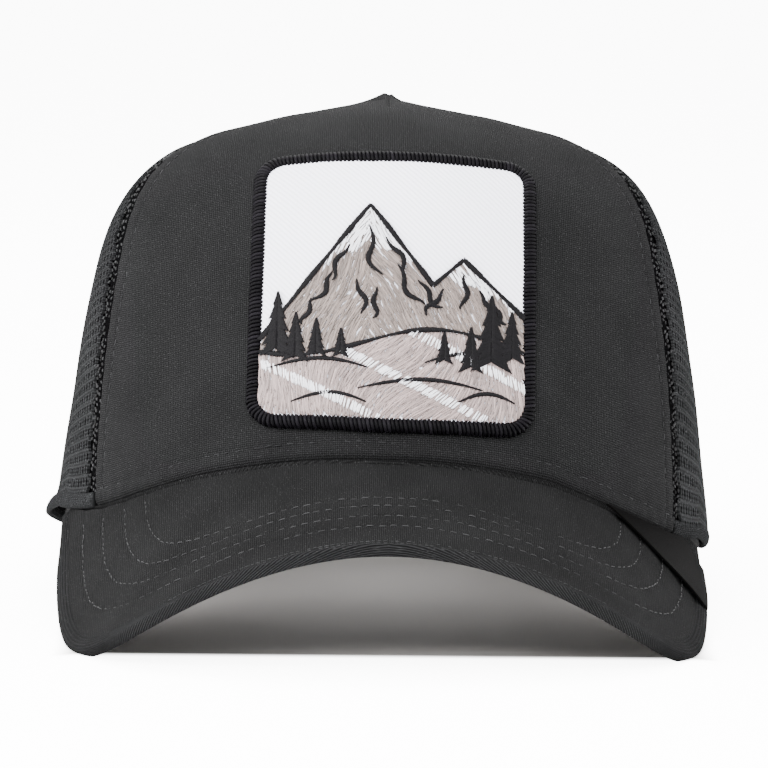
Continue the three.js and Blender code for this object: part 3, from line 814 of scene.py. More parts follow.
def calc(tree, operation, *values):
    numbered = dict(enumerate(values))
    return put(tree, "ShaderNodeMath", numbered, operation=operation).outputs[0]


def new_group(name, inputs, outputs):
    tree = bpy.data.node_groups.new(name, "ShaderNodeTree")
    for socket, kind, value in inputs:
        made = tree.interface.new_socket(name=socket, in_out="INPUT", socket_type=kind)
        if value is not None:
            made.default_value = value
    for socket, kind in outputs:
        tree.interface.new_socket(name=socket, in_out="OUTPUT", socket_type=kind)
    return tree, tree.nodes.new("NodeGroupInput"), tree.nodes.new("NodeGroupOutput")


def weave_group():
    """Plain or twill weave from places on the flat cloth: thread height, painted shade that lights the
    threads' crests and darkens the gaps between them, mixed with cloudy random tone, and light flecks.
    """
    name = "Woven cloth"
    if name in bpy.data.node_groups:
        return bpy.data.node_groups[name]
    tree, given, result = new_group(
        name,
        (
            ("Place", "NodeSocketVector", None),
            ("Threads per metre", "NodeSocketFloat", 1750.0),
            ("Twill", "NodeSocketFloat", 0.0),
            ("Slub", "NodeSocketFloat", 0.15),
        ),
        (
            ("Height", "NodeSocketFloat"),
            ("Painted_shade_and_tone", "NodeSocketFloat"),
            ("Fleck", "NodeSocketFloat"),
        ),
    )
    place, density, twill, slub = (given.outputs[index] for index in range(4))
    wander = put(tree, "ShaderNodeTexNoise", {"Vector": place, "Scale": 260.0, "Detail": 2.0})
    offset = calc(tree, "MULTIPLY", calc(tree, "SUBTRACT", wander.outputs[0], 0.5), slub)
    parts = put(tree, "ShaderNodeSeparateXYZ", {0: place})
    across = calc(tree, "ADD", calc(tree, "MULTIPLY", parts.outputs[0], density), offset)
    upward = calc(tree, "ADD", calc(tree, "MULTIPLY", parts.outputs[1], density), offset)

    def crossing(own, other, phase):
        """A thread's round back, rising and dipping as it passes over and under its neighbours."""
        back = calc(tree, "ABSOLUTE", calc(tree, "SINE", calc(tree, "MULTIPLY", own, math.pi)))
        number = calc(tree, "FLOOR", own)
        plain = calc(tree, "ADD", other, calc(tree, "ADD", number, phase))
        wave = calc(tree, "SINE", calc(tree, "MULTIPLY", plain, math.pi))
        return calc(tree, "MULTIPLY", back, calc(tree, "MULTIPLY_ADD", wave, 0.5, 0.5))

    warp = crossing(across, upward, 0.0)
    weft = crossing(upward, across, 1.0)
    plain_height = calc(tree, "MAXIMUM", warp, weft)
    diagonal = calc(tree, "MULTIPLY", calc(tree, "ADD", across, upward), math.pi / 2)
    ribs = calc(tree, "ABSOLUTE", calc(tree, "SINE", diagonal))
    height = put(tree, "ShaderNodeMix", {0: twill, 2: plain_height, 3: ribs}).outputs[0]
    cloud = put(tree, "ShaderNodeTexNoise", {"Vector": place, "Scale": 55.0, "Detail": 4.0})
    # painted shade: the colour follows thread height, lighter on the crests and darker in the gaps, times a
    # cloud of random tone
    shade = calc(tree, "MULTIPLY", height, calc(tree, "MULTIPLY_ADD", cloud.outputs[0], 0.7, 0.45))
    lint = put(tree, "ShaderNodeTexNoise", {"Vector": place, "Scale": 2600.0, "Detail": 1.0})
    fleck = put(tree, "ShaderNodeMapRange", {0: lint.outputs[0], 1: 0.62, 2: 0.74}).outputs[0]
    for socket, value in zip(result.inputs, (height, shade, fleck)):
        tree.links.new(value, socket)
    return tree


def twist_group():
    """Spun thread: fine slanting plies along each stitch, from its own lengths, and its own tone, with the ply
    crests painted lighter as a highlight.
    """
    name = "Spun thread"
    if name in bpy.data.node_groups:
        return bpy.data.node_groups[name]
    tree, given, result = new_group(
        name,
        (
            ("Place", "NodeSocketVector", None),
            ("Plies per metre", "NodeSocketFloat", 2600.0),
            ("Tone", "NodeSocketFloat", 0.5),
        ),
        (
            ("Height", "NodeSocketFloat"),
            ("Painted_shade_and_tone", "NodeSocketFloat"),
        ),
    )
    place, plies, tone = (given.outputs[index] for index in range(3))
    parts = put(tree, "ShaderNodeSeparateXYZ", {0: place})
    slanted = calc(tree, "MULTIPLY", calc(tree, "ADD", parts.outputs[0], parts.outputs[1]), plies)
    height = calc(tree, "ABSOLUTE", calc(tree, "SINE", calc(tree, "MULTIPLY", slanted, math.pi)))
    # painted highlight: a quarter of the colour follows the ply height; the rest is each stitch's random tone
    shade = calc(tree, "MULTIPLY_ADD", height, 0.25, calc(tree, "MULTIPLY", tone, 0.75))
    for socket, value in zip(result.inputs, (height, shade)):
        tree.links.new(value, socket)
    return tree


def new_material(name):
    material = bpy.data.materials.new(name)
    material.use_nodes = True
    tree = material.node_tree
    tree.nodes.clear()
    shader = tree.nodes.new("ShaderNodeBsdfPrincipled")
    output = tree.nodes.new("ShaderNodeOutputMaterial")
    tree.links.new(shader.outputs[0], output.inputs[0])
    return material, tree, shader


def mix_colours(tree, amount, dark, light):
    mixed = put(tree, "ShaderNodeMix", data_type="RGBA")
    tree.links.new(amount, mixed.inputs[0])
    for socket, value in ((mixed.inputs[6], dark), (mixed.inputs[7], light)):
        if isinstance(value, bpy.types.NodeSocket):
            tree.links.new(value, socket)
        else:
            socket.default_value = (*value, 1)
    return mixed.outputs[2]


def tint(colour, share):
    """A colour made darker or lighter."""
    return tuple(min(value * share, 1) for value in colour)


def cloth(
    name, colour, density, twill=0.0, depth=0.12 * MM, roughness=0.9, flecks=0.5, contrast=0.6, gloss=0.04,
    ribs_fade=False,
):
    """Woven cloth that follows the piece's own flat lengths; its ribs can fade where the tone is low."""
    material, tree, shader = new_material(name)
    place = put(tree, "ShaderNodeUVMap", uv_map=UV_NAME).outputs[0]
    weave = put(tree, "ShaderNodeGroup", node_tree=weave_group())
    tree.links.new(place, weave.inputs["Place"])
    weave.inputs["Threads per metre"].default_value = density
    weave.inputs["Twill"].default_value = twill
    if ribs_fade:
        tone = put(tree, "ShaderNodeAttribute", attribute_name=TONE_NAME).outputs["Fac"]
        tree.links.new(tone, weave.inputs["Twill"])
    # contrast sets how far the weave's painted shade darkens the gaps and lights the crests, together with the
    # random tone
    dark = tint(colour, 1 - contrast)
    light = tint(colour, 1 + contrast)
    woven = mix_colours(tree, weave.outputs["Painted_shade_and_tone"], dark, light)
    lint = calc(tree, "MULTIPLY", weave.outputs["Fleck"], flecks)
    lint_colour = tuple(value * 3.5 + 0.012 for value in colour)
    tree.links.new(mix_colours(tree, lint, woven, lint_colour), shader.inputs["Base Color"])
    shader.inputs["Roughness"].default_value = roughness
    shader.inputs["Specular IOR Level"].default_value = gloss
    threads = {"Height": weave.outputs["Height"], "Strength": 0.8, "Distance": depth}
    relief = put(tree, "ShaderNodeBump", threads)
    tree.links.new(relief.outputs[0], shader.inputs["Normal"])
    return material


def thread(name, dark, light, roughness=0.45, specular=0.12):
    """Spun or satin thread, each stitch a little lighter or darker than the next, its ply crests painted
    lighter as a highlight.
    """
    material, tree, shader = new_material(name)
    place = put(tree, "ShaderNodeUVMap", uv_map=UV_NAME).outputs[0]
    tone = put(tree, "ShaderNodeAttribute", attribute_name=TONE_NAME).outputs["Fac"]
    twist = put(tree, "ShaderNodeGroup", node_tree=twist_group())
    tree.links.new(place, twist.inputs["Place"])
    tree.links.new(tone, twist.inputs["Tone"])
    colour = mix_colours(tree, twist.outputs["Painted_shade_and_tone"], dark, light)
    tree.links.new(colour, shader.inputs["Base Color"])
    shader.inputs["Roughness"].default_value = roughness
    shader.inputs["Specular IOR Level"].default_value = specular
    plies = {"Height": twist.outputs["Height"], "Strength": 0.5, "Distance": 0.05 * MM}
    relief = put(tree, "ShaderNodeBump", plies)
    tree.links.new(relief.outputs[0], shader.inputs["Normal"])
    return material


def grained(name, colour, roughness, grain=900.0, depth=0.05 * MM, contrast=0.3, specular=0.1):
    """Moulded or knitted stuff with a fine grain, from Object coordinates."""
    material, tree, shader = new_material(name)
    place = put(tree, "ShaderNodeTexCoord").outputs["Object"]
    noise = put(tree, "ShaderNodeTexNoise", {"Vector": place, "Scale": grain, "Detail": 3.0})
    dark = tint(colour, 1 - contrast)
    light = tint(colour, 1 + contrast)
    tree.links.new(mix_colours(tree, noise.outputs[0], dark, light), shader.inputs["Base Color"])
    shader.inputs["Roughness"].default_value = roughness
    shader.inputs["Specular IOR Level"].default_value = specular
    relief = put(tree, "ShaderNodeBump", {"Height": noise.outputs[0], "Strength": 0.6, "Distance": depth})
    tree.links.new(relief.outputs[0], shader.inputs["Normal"])
    return material


def colour_setting(name, description, default):
    return FloatVectorProperty(
        name=name, description=description, default=default, size=3, min=0, max=1, subtype="COLOR"
    )


def length_setting(name, description, default):
    return FloatProperty(
        name=name, description=description, default=default, min=0, unit="LENGTH", precision=5
    )


class ClothSettings(bpy.types.PropertyGroup):
    """Cloths of the front panel, visor, bands and tapes"""

    canvas: colour_setting("Canvas", "Colour of the front panel's canvas", (0.0062, 0.0062, 0.0064))
    visor: colour_setting("Visor cloth", "Colour of the visor's cloth", (0.0064, 0.0064, 0.0065))
    band: colour_setting("Sweatband", "Colour of the sweatband's twill", (0.0060, 0.0060, 0.0062))
    tape: colour_setting("Tape", "Colour of the rim fold and the rear tape", (0.0066, 0.0066, 0.0068))
    ribbon: colour_setting("Ribbon", "Colour of the folded ribbon on the visor", (0.0016, 0.0015, 0.0015))
    strap: colour_setting("Strap", "Colour of the moulded strap", (0.0045, 0.0045, 0.0048))
    thread_gap: length_setting("Canvas thread", "Distance between the canvas threads", 0.56 * MM)
    pucker: length_setting("Pucker", "How far the cloth puckers along its stitching", 0.14 * MM)


class NetSettings(bpy.types.PropertyGroup):
    """Net of the side and back panels"""

    colour: colour_setting("Net", "Colour of the net's yarn", (0.0105, 0.0108, 0.0112))
    # the turned-in net's near-black colour is painted shade in the holes of the seam strip
    painted_shade_turning: colour_setting("Seam turning", "Colour of the net turned in", (0.0010, 0.0010, 0.0011))
    cell_width: length_setting("Mesh width", "Distance between the net's holes along a row", 2.0 * MM)
    cell_height: length_setting("Mesh height", "Distance between the net's rows", 2.0 * MM)
    strand: length_setting("Strand", "Width of a strand of the net", 0.95 * MM)
    depth: length_setting("Strand depth", "Thickness of the net", 0.8 * MM)
    rib: length_setting("Hem rib", "Distance between the ribs of the folded hem", 2.0 * MM)


class StitchSettings(bpy.types.PropertyGroup):
    """Topstitching"""

    light: colour_setting("Light thread", "Colour of the visor's stitching", (0.027, 0.027, 0.028))
    dark: colour_setting("Dark thread", "Colour of the crown's stitching", (0.015, 0.015, 0.016))
    pitch: length_setting("Stitch pitch", "Distance from one stitch to the next", 2.9 * MM)
    length: length_setting("Stitch length", "Length of thread seen in one stitch", 1.9 * MM)
    width: length_setting("Thread", "Width of the sewing thread", 0.25 * MM)
    chain_pitch: length_setting("Chain pitch", "Distance between the knots along the front seams", 1.55 * MM)
    chain_knot: length_setting("Chain knot", "Width of a knot of the front seams", 0.6 * MM)


class PatchSettings(bpy.types.PropertyGroup):
    """Embroidered patch"""

    ground: colour_setting("Ground", "Colour of the patch's twill", (0.62, 0.62, 0.68))
    black: colour_setting("Black thread", "Colour of the border and the outlines", (0.0008, 0.0007, 0.0009))
    mauve: colour_setting("Mauve thread", "Colour of the hills", (0.155, 0.118, 0.112))
    taupe: colour_setting("Taupe thread", "Colour of the peaks", (0.085, 0.066, 0.058))
    white: colour_setting("White thread", "Colour of the snow", (0.55, 0.55, 0.58))
    thread: length_setting("Embroidery thread", "Width of the embroidery thread", 0.42 * MM)
    wrap: length_setting("Border wrap", "Distance between the border's wraps", 1.0 * MM)
    seed: IntProperty(name="Seed", description="Settles the stitches' small differences", default=4)


class StageSettings(bpy.types.PropertyGroup):
    """Floor, light and camera"""

    floor: colour_setting("Floor", "Colour of the floor and backdrop", (0.96, 0.96, 0.96))
    # the floor's colour under the hat is a painted shadow
    under: colour_setting("Under the hat", "Colour of the floor below the visor", (0.36, 0.34, 0.325))
    glow: FloatProperty(name="Glow", description="Whiteness added to the open floor", default=8.0, min=0)
    distance: length_setting("Camera distance", "Distance from the camera to the hat", 1.5)
    aim_height: length_setting("Aim height", "Height that the camera looks at", 55.44 * MM)
    aim_x: FloatProperty(
        name="Aim across", description="Where across the hat the camera looks", default=0.08 * MM,
    )
    elevation: FloatProperty(
        name="Elevation", description="Angle of the camera above the floor",
        default=math.radians(5.685), subtype="ANGLE",
    )
    turn: FloatProperty(
        name="Turn", description="Angle of the camera round the hat, toward the wearer's right",
        default=math.radians(0.6), subtype="ANGLE",
    )
    roll: FloatProperty(
        name="Roll", description="How far the camera leans over", default=math.radians(0.57), subtype="ANGLE",
    )
    lens: FloatProperty(name="Lens", description="Focal length", default=265.6, min=1, unit="CAMERA")
    key: FloatProperty(name="Key light", description="Power of the front light, in watts", default=95, min=0)
    fill: FloatProperty(name="Fill light", description="Power of each other light in watts", default=62, min=0)
    sky: FloatProperty(name="Sky", description="Strength of the white surroundings", default=3.0, min=0)


# Pieces

def panel_relief(points, angle, rise, settings):
    """How far the front panel's cloth stands out of its plain surface."""
    side = (seam_angle(SEAM_FRONT, rise) - np.abs(angle)) * degree_length(angle, np.minimum(rise, 0.985))
    above = points[:, 2] - hem_height(angle)
    toward_front = (APEX_Y - points[:, 1]) / DART_LENGTH
    aside = points[:, 0] - DART_X
    relief = -SIDE_TURN * (1 - smooth(side / TURN_WIDTH))
    relief -= HEM_TURN * (1 - smooth(above / TURN_WIDTH))
    for away in (side - SEAM_STITCH, above - HEM_STITCH):
        relief -= STITCH_SINK * bump(away, STITCH_SINK_WIDTH)
    relief += settings.pucker * np.sin(points[:, 2] / (0.95 * MM)) * bump(side - 3 * MM, 2.6 * MM)
    ripple = np.sin(angle * 2.1 + 0.6 * np.sin(angle / 5))
    relief += settings.pucker * ripple * bump(above - 2.6 * MM, 2.6 * MM)
    x, z = points[:, 0] / MM, points[:, 2] / MM
    relief += 0.22 * MM * np.sin(x / 15 + z / 31) * np.sin(z / 19 - x / 47 + 0.8)
    inner = np.clip((side - 6 * MM) / (10 * MM), 0, 1)
    relief += 0.12 * MM * np.sin(x / 6.1 - z / 9) * np.sin(z / 7.3 + x / 13) * inner
    steep = np.where(aside < 0, DART_SOFT, DART_STEEP)
    ridge = (1 - np.clip(toward_front, 0, 1)) ** 2
    dart = DART_RISE * ridge * bump(aside, steep)
    seam = bump(aside + 0.3 * MM, 0.5 * MM) * (toward_front > 0) * (toward_front < 1.05)
    dimple = bump(aside + 3 * MM, 1.5 * MM) * bump(toward_front - 0.40, 0.07)
    return relief + dart - 0.5 * MM * seam - 1.3 * MM * dimple


def along_cloth(points, columns, rows):
    """Lengths across and up the cloth for a grid's points, held in rows."""
    net = points.reshape(rows, columns, 3)
    up_steps = np.linalg.norm(np.diff(net, axis=0), axis=-1)
    upward = np.concatenate((np.zeros((1, columns)), np.cumsum(up_steps, axis=0)))
    across_steps = np.linalg.norm(np.diff(net, axis=1), axis=-1)
    across = np.concatenate((np.zeros((rows, 1)), np.cumsum(across_steps, axis=1)), axis=1)
    middle = across[:, columns // 2:columns // 2 + 1]
    return np.stack(((across - middle).ravel(), upward.ravel()), -1)


class HAT_OT_front_panel(bpy.types.Operator):
    """Build the canvas front panel with its dart, turned edges and puckered seams"""

    bl_idname = "hat.front_panel"
    bl_label = "Front Panel"

    def execute(self, context):
        settings = context.scene.hat_cloth
        density = 1 / settings.thread_gap
        material = cloth("front_canvas", settings.canvas, density, depth=0.3 * MM, contrast=0.95)
        self.panel(settings, material)
        self.tip(material)
        return {"FINISHED"}

    def panel(self, settings, material):
        columns, rows = 170, 130
        piece, across, up = add_grid("front_panel_canvas", columns, rows)
        top = float(rise_at_radius(0.0, 1.2 * MM))
        rise = crowd_ends(up, 0.5) * top
        angle = (crowd_ends(across) * 2 - 1) * (seam_angle(SEAM_FRONT, rise) - 0.15)
        plain = crown(angle, rise)
        relief = panel_relief(plain, angle, rise, settings)
        normal = crown_normal(angle, rise)
        order = np.lexsort((across, up))
        lengths = np.empty((len(plain), 2))
        lengths[order] = along_cloth(plain[order], columns + 1, rows + 1)
        write_points(piece, rest(plain + normal * relief[:, None]))
        write_cloth_lengths(piece, lengths)
        thicken(piece, FRONT_CLOTH)
        points = read_points(piece)
        inner = plain - normal * FRONT_CLOTH
        at_hem = up < 1e-6
        inner[at_hem, 2] = hem_height(angle[at_hem])
        points[len(plain):] = rest(inner)
        write_points(piece, points)
        finish(piece, material, "canvas", "front_panel")

    def tip(self, material):
        """The small cap of cloth over the apex, where the dart ends in a nub."""
        cap, across, up = add_grid("front_panel_tip", 72, 16)
        angle = across * 360 - 180
        radius = np.maximum(up * TIP_CAP_RADIUS, 0.02 * MM)
        rise = rise_at_radius(angle, radius)
        plain = crown(angle, rise)
        edge = up ** 4
        steep = np.where(plain[:, 0] < DART_X, DART_SOFT * 0.75, DART_STEEP * 1.4)
        behind = np.clip((plain[:, 1] - APEX_Y) / (TIP_CAP_RADIUS * 1.2), 0, 1)
        peak = 0.45 * DART_RISE * bump(plain[:, 0] - DART_X, steep) * (1 - behind) ** 1.5
        peak *= 1 - 0.6 * up ** 2
        lift = 0.35 * MM * (1 - edge) - 0.5 * MM * edge + peak
        plain = plain + crown_normal(angle, rise) * lift[:, None]
        write_points(cap, rest(plain))
        write_cloth_lengths(cap, plain[:, :2])
        edit(cap, lambda: merge_doubles(0.03 * MM), face_outward)
        thicken(cap, TIP_CAP_THICK)
        finish(cap, material, "canvas")


def net_cells(name, columns, rows, cell_width, cell_height):
    """A flat sheet of six-sided net cells, modelled from one cell that stands on a corner."""
    deselect()
    bpy.ops.mesh.primitive_circle_add(vertices=6, radius=cell_width / math.sqrt(3), fill_type="NGON")
    piece = bpy.context.object
    piece.name = name
    piece.data.name = name
    points = read_points(piece)
    if abs(points[:, 0]).max() > abs(points[:, 1]).max():
        points = points[:, (1, 0, 2)]
    regular_row = cell_width * math.sqrt(3) / 2
    points[:, 1] *= cell_height / regular_row
    points[:, 0] -= columns * cell_width / 2
    write_points(piece, points)
    edit(piece, lambda: bpy.ops.mesh.duplicate_move(
        TRANSFORM_OT_translate={"value": (cell_width / 2, cell_height, 0)}
    ))
    for count, offset in ((columns, (cell_width, 0, 0)), (rows // 2, (0, 2 * cell_height, 0))):
        bpy.ops.object.modifier_add(type="ARRAY")
        repeat = piece.modifiers[-1]
        repeat.count = count
        repeat.use_relative_offset = False
        repeat.use_constant_offset = True
        repeat.constant_offset_displace = offset
    apply_modifiers(piece)
    edit(piece, lambda: merge_doubles(0.02 * MM))
    return piece


def drop_cells(piece, wanted):
    """Delete the cells whose middles aren't wanted."""
    centres = np.empty(len(piece.data.polygons) * 3)
    piece.data.polygons.foreach_get("center", centres)
    unwanted = ~wanted(centres.reshape(-1, 3)[:, :2])
    select_only(piece)
    bpy.ops.object.mode_set(mode="EDIT")
    bpy.ops.mesh.select_all(action="DESELECT")
    bpy.ops.object.mode_set(mode="OBJECT")
    piece.data.polygons.foreach_set("select", unwanted)
    bpy.ops.object.mode_set(mode="EDIT")
    bpy.ops.mesh.select_mode(type="FACE")
    bpy.ops.mesh.delete(type="FACE")
    bpy.ops.object.mode_set(mode="OBJECT")


def open_cells(piece, strand):
    """Open a hole in each cell, which leaves the strands between them."""
    edit(
        piece,
        lambda: bpy.ops.mesh.select_mode(type="FACE"),
        lambda: bpy.ops.mesh.inset(thickness=strand / 2, use_individual=True, use_even_offset=True),
        lambda: bpy.ops.mesh.delete(type="FACE"),
    )


class Gore:
    """A net panel between two seams, laid flat: lengths up its middle and across it."""

    def __init__(self, start, end):
        self.start, self.end = start, end
        self.middle = (start + end) / 2
        top = float(rise_at_radius(self.middle, TIP_RADIUS * 0.9))
        self.rises = np.linspace(0, top, 140)
        spine = crown(self.middle, self.rises)
        self.lengths = distances(spine)
        shares = np.linspace(0, 1, 25)
        low = seam_angle(start, self.rises)[:, None]
        high = seam_angle(end, self.rises)[:, None]
        rows = crown(low * (1 - shares) + high * shares, self.rises[:, None])
        self.widths = np.linalg.norm(np.diff(rows, axis=1), axis=-1).sum(axis=1)

    def width(self, length):
        return np.interp(length, self.lengths, self.widths)

    def place(self, flat):
        """Angle and rise on the crown, from places on the flat panel."""
        rise = np.interp(flat[:, 1], self.lengths, self.rises)
        share = np.clip(flat[:, 0] / self.width(flat[:, 1]), -0.5, 0.5) + 0.5
        return seam_angle(self.start, rise) * (1 - share) + seam_angle(self.end, rise) * share, rise


def outside_arch(angle, rise, margin):
    """Whether places on the crown lie outside the half-moon opening and a margin round it."""
    points = crown(angle, rise)
    across = points[:, 0] / (ARCH_HALF_WIDTH + margin)
    upward = points[:, 2] / (ARCH_HEIGHT + margin)
    behind = np.abs(angle) > 130
    return ~(behind & (across ** 2 + upward ** 2 < 1))


def flare(points, angle):
    """The hem's outward lean, which fades out toward the front seams and on the wearer's left."""
    above = np.clip((points[:, 2] - hem_height(angle)) / HEM_BAND, 0, 1)
    push = HEM_FLARE * (1 - above) ** 2 * smooth((np.abs(angle) - SEAM_FRONT) / 12)
    push = push * (1.3 - 1.5 * smooth(angle / SEAM_FRONT + 0.5))
    outward = points[:, :2] - np.array((0, APEX_Y))
    moved = points.copy()
    moved[:, :2] += unit(outward) * push[:, None]
    return moved


def net_panel(name, start, end, settings, arch=False):
    """One open net panel between two seams, clear of the half-moon or of the front seam's strip."""
    gore = Gore(start, end)
    width, height = settings.cell_width, settings.cell_height
    columns = int(gore.widths.max() / width) + 3
    rows = int(gore.lengths[-1] / height) + 3
    sheet = net_cells(name, columns, rows + rows % 2, width, height)

    def wanted(flat):
        half = gore.width(flat[:, 1]) / 2
        inside = (np.abs(flat[:, 0]) < half + 0.5 * width)
        inside &= (flat[:, 1] > 0) & (flat[:, 1] < gore.lengths[-1])
        angle, rise = gore.place(flat)
        if arch:
            return inside & outside_arch(angle, rise, ARCH_TAPE - 2.5 * MM)
        strip = np.minimum(SEAM_STRIP, 0.12 * half)
        return inside & (half + flat[:, 0] * math.copysign(1, start) > strip)

    drop_cells(sheet, wanted)
    open_cells(sheet, settings.strand)
    flat = read_points(sheet)[:, :2]
    angle, rise = gore.place(flat)
    inset = 0.15 * MM + 0.12 * MM * np.sin(flat[:, 0] / (4.1 * MM)) * np.sin(flat[:, 1] / (5.3 * MM))
    points = flare(crown(angle, rise), angle) - crown_normal(angle, rise) * inset[:, None]
    write_points(sheet, rest(points))
    write_cloth_lengths(sheet, flat)
    thicken(sheet, settings.depth)
    return sheet


def seam_turning(name, seam, side):
    """The net turned in behind a front seam, close and painted near-black as shade, from under the canvas
    edge.
    """
    high = float(rise_at_radius(seam, TIP_RADIUS))
    piece, across, up = add_grid(name, 16, 90)
    rise = 0.01 + (high - 0.01) * up
    away = SEAM_TURNING * across - SEAM_UNDER * (1 - across)
    angle = seam_angle(seam, rise) + side * away / degree_length(float(seam), rise)
    inset = 0.75 * MM + 0.6 * MM * smooth((away - SEAM_STRIP + 1 * MM) / (1 * MM))
    inset += 1.7 * MM * (1 - smooth((away + 0.9 * MM) / (1 * MM)))
    points = flare(crown(angle, rise), angle) - crown_normal(angle, rise) * inset[:, None]
    write_points(piece, rest(points))
    write_cloth_lengths(piece, np.stack((across * SEAM_TURNING, up * 0.12), -1))
    thicken(piece, SEAM_TURNING_THICK, -math.copysign(1, side))
    edit(piece, face_outward)
    return piece


def seam_cord(name, seam, side, from_height):
    """A rounded fold of net that runs up beside a seam."""
    low = float(rise_at_height(seam, from_height)) if from_height else 0.0
    high = float(rise_at_radius(seam, TIP_RADIUS))
    rises = np.linspace(low, high, 150)
    width = SEAM_FOLD * 1.15
    angle = seam_angle(seam, rises) + side * (width + 0.1 * MM) / degree_length(float(seam), rises)
    middle = flare(crown(angle, rises), angle)
    normal = crown_normal(angle, rises)
    sideways = unit(np.cross(normal, np.gradient(middle, axis=0)))
    piece, across, up = add_grid(name, 12, len(rises) - 1)
    row = np.rint(up * (len(rises) - 1)).astype(int)
    turn = across * 2 * math.pi
    knit = 1 + 0.14 * np.sin(row * 2.2)
    offset = sideways[row] * (np.cos(turn) * width * knit)[:, None]
    offset += normal[row] * (np.sin(turn) * SEAM_FOLD * knit - SEAM_FOLD_INSET)[:, None]
    write_points(piece, rest(middle[row] + offset))
    write_cloth_lengths(piece, np.stack((across * SEAM_FOLD * 6, up * 0.12), -1))
    edit(piece, merge_doubles, fill_ends, select_mesh, face_outward)
    return piece


def hem_fold(name, start, end, rib):
    """The net's folded hem: a rolled band with close ribs, tucked under on the wearer's left."""
    span = float(np.linalg.norm(np.diff(crown(np.linspace(start, end, 40), 0.0), axis=0), axis=1).sum())
    columns = int(span / rib * 6)
    piece, across, up = add_grid(name, columns, 16)
    angle = start + (end - start) * across
    turn = up * 2 * math.pi
    slanted = across * span / rib + 0.9 * np.cos(turn)
    wave = np.abs(np.cos(math.pi * slanted))
    height = HEM_ROLL / 2 * (1 + np.cos(turn))
    out = np.sin(turn) * HEM_ROLL_DEPTH * (0.45 + 0.65 * wave) - HEM_ROLL_INSET
    if start > 0:
        out -= HEM_ROLL_TUCK
    rise = rise_at_height(angle, hem_height(angle) + np.maximum(height, 0))
    points = flare(crown(angle, rise), angle)
    points = points + crown_normal(angle, rise) * out[:, None]
    sag = 0.25 * MM * np.sin(across * span / (9 * MM)) * (height < 2 * MM)
    points[:, 2] -= sag * 0.5
    write_points(piece, rest(points))
    write_cloth_lengths(piece, np.stack((across * span, up * 16 * MM), -1))
    edit(piece, merge_doubles, fill_ends, select_mesh, face_outward)
    return piece


class HAT_OT_net_panels(bpy.types.Operator):
    """Build the side and back panels of net, with their folded hems and seams"""

    bl_idname = "hat.net_panels"
    bl_label = "Net Panels"

    def execute(self, context):
        settings = context.scene.hat_net
        material = cloth(
            "net_yarn", settings.colour, 1700, depth=0.3 * MM, flecks=0.9, contrast=0.95, gloss=0.015
        )
        # the turned-in net's near-black colour is painted shade
        painted_shade_turning = cloth("net_turned_in_painted_shade", settings.painted_shade_turning, 1700, depth=0.2 * MM, flecks=0.3, gloss=0.005)
        for side, sign in (("left", 1), ("right", -1)):
            for part, start, end in (("side", SEAM_FRONT, SEAM_SIDE), ("back", SEAM_SIDE, REAR)):
                ends = sorted((sign * (start + 0.2), sign * (end - 0.2)))
                arch = part == "back"
                name = f"{part}_net_{side}"
                panel = net_panel(name, *ends, settings, arch)
                hem_end = ARCH_SEAM_ANGLE - 0.6 if arch else end - 0.1
                hem = hem_fold(f"{name}_hem", *sorted((sign * (start + 0.1), sign * hem_end)), settings.rib)
                above = ARCH_HEIGHT + ARCH_TAPE if arch else 0
                cords = [seam_cord(f"{name}_end", sign * end, -sign, above)]
                if arch:
                    cords.append(seam_cord(f"{name}_seam", sign * start, sign, 0))
                else:
                    turning = seam_turning(f"{name}_turning", sign * start, sign)
                    finish(turning, painted_shade_turning, "net", angle=80)
                finish(join([panel, hem, *cords]), material, "net", f"{part}_mesh_{side}", angle=80)
        return {"FINISHED"}


def row_distance(plan, row):
    """Distance from a row of the visor's stitching, from places in plan."""
    reach, half, squareness = row
    x = np.abs(plan[:, 0]) / half
    y = np.clip((plan[:, 1] - ROW_ROOT_Y) / (reach - ROW_ROOT_Y), 0, None)
    return ((x ** squareness + y ** squareness) ** (1 / squareness) - 1) * half


def visor_relief(plan, settings):
    """How far the visor's cloth is sunk and puckered along its stitching, and how it waves."""
    relief = np.zeros(len(plan))
    for number, row in enumerate(VISOR_ROWS):
        away = row_distance(plan, row)
        relief -= 0.3 * MM * bump(away, 0.7 * MM)
        ripple = np.sin(plan[:, 0] / (1.05 * MM) + number) * np.sin(plan[:, 1] / (1.4 * MM))
        relief += settings.pucker * 0.8 * ripple * bump(away, 2.2 * MM)
    x, y = plan[:, 0] / MM, plan[:, 1] / MM
    relief += 0.1 * MM * np.sin(x / 9 + y / 17) * np.sin(y / 11 - x / 23)
    return relief


def visor_places(across, up):
    """Places in plan from the rim, at up 0, to the root, at up 1."""
    t = across * 2 - 1
    outer = rim(t * CORE_END, 0.4 * MM)
    inner = root(t * CORE_END_ANGLE)
    return outer * (1 - up)[:, None] + inner * up[:, None]


